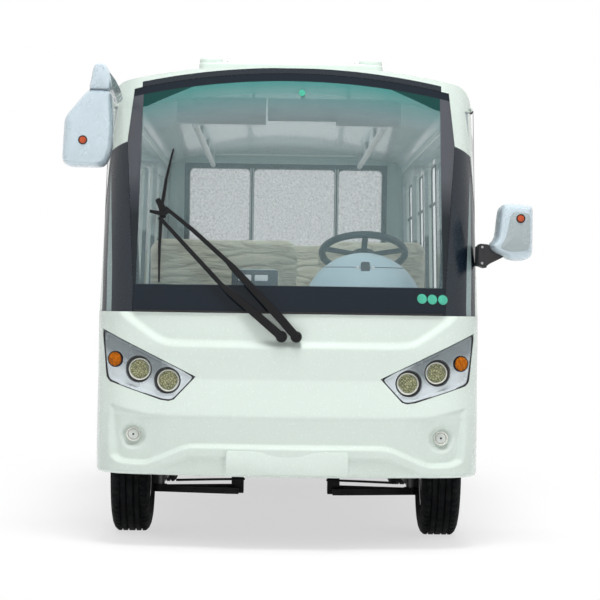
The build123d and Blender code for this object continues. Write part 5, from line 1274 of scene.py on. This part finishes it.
add_camera()
add_world()
add_floor()
area_light("key", (-5.0, -10.0, 6.0), (0, -1.5, 1.0), (6, 5), 90)
area_light("fill", (6.0, -8.5, 3.6), (0, -1.5, 0.9), (5, 5), 70)
area_light("sky", (0.3, -5.2, 8.2), (0, -2.3, 0.8), (3, 3), 540)
area_light("cabin", (0, 0.1, 1.80), (0, 0.1, 0), (1.0, 4.0), 13)
area_light("cabin_up", (0, 0.1, 1.40), (0, 0.1, 3), (0.9, 3.6), 11)
area_light("back", (0, 8.0, 6.0), (0, 1.5, 1.0), (6, 5), 260)
area_light("top", (0, 0, 6.5), (0, 0, 1.5), (5, 7), 150)

WHITE = body_paint("paint_white")
BLACK_PLASTIC = Shader("black_plastic", (0.014, 0.014, 0.016), 0.42, spread=0.25, grain=0.25).mat
WIPER_BLACK = Shader("wiper_black", (0.005, 0.005, 0.006), 0.42, spread=0.2,
                     grain=0.15).set(Specular_IOR_Level=0.25).mat
RUBBER_TRIM = Shader("rubber_trim", (0.012, 0.012, 0.013), 0.6, spread=0.2, grain=0.2).mat
DARK_GREY = Shader("dark_grey", (0.045, 0.052, 0.06), 0.45, spread=0.1, grain=0.15).mat
TRIM_GREY = Shader("trim_grey", (0.36, 0.38, 0.38), 0.5, spread=0.05, grain=0.15).mat
LABEL_WHITE = Shader("label_white", (0.74, 0.76, 0.77), 0.4, spread=0.02, grain=0.05).mat
# Mid grey: the mirror arm's colour, and on the mirror's inner panel a painted reflection.
MIRROR_GREY_AND_REFLECTION = Shader("mirror_grey_and_reflection", (0.38, 0.44, 0.455), 0.26, metal=0.35, coat=0.3, spread=0.02).mat
SEAM_GREY = Shader("seam_grey", (0.20, 0.23, 0.25), 0.5, spread=0.05).mat
MIRROR_SILVER = Shader("mirror_silver", (0.56, 0.66, 0.72), 0.26, metal=0.35, coat=0.4, spread=0.02, grain=0.06,
                       grain_scale=2200).mat
MIRROR_GLASS = Shader("mirror_glass", (0.86, 0.88, 0.89), 0.02, metal=1.0, spread=0.01).mat
LAMP_SILVER = lamp_silver()
PALE_RING = Shader("pale_ring", (0.74, 0.75, 0.69), 0.25, metal=0.2, coat=0.5, spread=0.03).mat
LED_LENS = led_lens()
FOG_LENS = Shader("fog_lens", (0.60, 0.63, 0.60), 0.12, coat=1.0, spread=0.1, scale=60).mat
AMBER = Shader("amber_lens", (0.40, 0.105, 0.001), 0.25, spread=0.45, scale=90, grain=0.3,
               grain_scale=260).set(Specular_IOR_Level=0.15).mat
ORANGE = Shader("orange_lens", (0.46, 0.065, 0.012), 0.3, coat=0.2, spread=0.2, scale=60).mat
RED_LENS = Shader("red_lens", TAIL_RED, 0.12, coat=1.0, spread=0.1).mat
GREEN_DISC = Shader("green_disc", (0.045, 0.40, 0.27), 0.3, coat=0.5, spread=0.12, scale=30).mat
ALLOY = Shader("alloy", (0.50, 0.51, 0.52), 0.34, metal=0.85, spread=0.06, grain=0.12, grain_scale=1500).mat
ALLOY_BRIGHT = Shader("alloy_bright", (0.62, 0.63, 0.64), 0.2, metal=0.95, spread=0.04).mat
CHROME = Shader("chrome", (0.72, 0.73, 0.74), 0.10, metal=1.0, spread=0.03).mat
ZINC = Shader("zinc", (0.50, 0.50, 0.49), 0.35, metal=0.9, spread=0.1, grain=0.1).mat
STEEL = soiled("cast_steel", (0.14, 0.14, 0.145), 0.55, (0.11, 0.045, 0.02), 22, 5, 0.56, 0.74, 0.5,
               metal=0.8, spread=0.2, grain=0.6, grain_scale=260).mat
CHASSIS = soiled("chassis_black", (0.008, 0.008, 0.009), 0.55, (0.035, 0.032, 0.028), 14, 5, 0.45, 0.75, 0.4,
                 spread=0.3, grain=0.3, grain_scale=350).set(Specular_IOR_Level=0.2).mat
RUBBER = soiled("tyre_rubber", (0.006, 0.007, 0.008), 0.85, (0.030, 0.030, 0.028), 30, 4, 0.45, 0.75, 0.30,
                spread=0.3, scale=14, grain=0.35, grain_scale=500).set(Specular_IOR_Level=0.12).mat
SEAT_COVER = seat_cover()

assign(WHITE, "front_mask")
assign(body_paint("paint_white_frame", corners=True), "windscreen_frame", "corner_covers")
assign(body_paint("paint_white_walls", inner=True), "side_wall_left", "side_wall_right", "door_driver",
       "door_front_passenger", "door_saloon")
assign(roof_paint(), "roof", "roof_pod")
assign(rear_paint(), "rear_wall")
assign(screen_glass(), "windscreen")
assign(pane_glass(), "fixed_glass", "door_glass_driver", "door_glass_front_passenger", "door_glass_saloon")
assign(CHASSIS, "chassis_rails", "chassis_crossmembers", "front_suspension", "battery_box", "wheel_housings")
assign(STEEL, "knuckle_left", "knuckle_right", "rack_bar", "rear_axle")
assign(ALLOY, "motor", "rim_front_left", "rim_front_right", "rim_rear_left", "rim_rear_right")
assign(RUBBER, "tyre_front_left", "tyre_front_right", "tyre_rear_left", "tyre_rear_right")
assign(floor_vinyl(), "floor", "seat_bases")
assign(LAMP_SILVER, "headlamp_units")
assign(LED_LENS, "lamp_lenses")
assign(tail_lens(), "tail_lamps")
assign(WIPER_BLACK, "wiper")
assign(Shader("wheel_grey", (0.05, 0.065, 0.075), 0.42, spread=0.1, grain=0.3, grain_scale=700).mat, "steering_wheel")
assign(MIRROR_SILVER, "mirror_left", "mirror_right")
assign(Shader("dash_plastic", (0.42, 0.56, 0.62), 0.42, spread=0.04, grain=0.15).mat, "dashboard")
assign(SEAT_COVER, "front_seats", "saloon_seats")
assign(TRIM_GREY, "cabin_fittings")

for add in (add_nose, add_headlamps, add_mirrors, add_wiper, add_glass_marks, add_sides, add_wheels, add_cabin,
            add_roof, add_rear, add_underside, add_seats):
    add()

bpy.context.scene.view_settings.view_transform = "Standard"
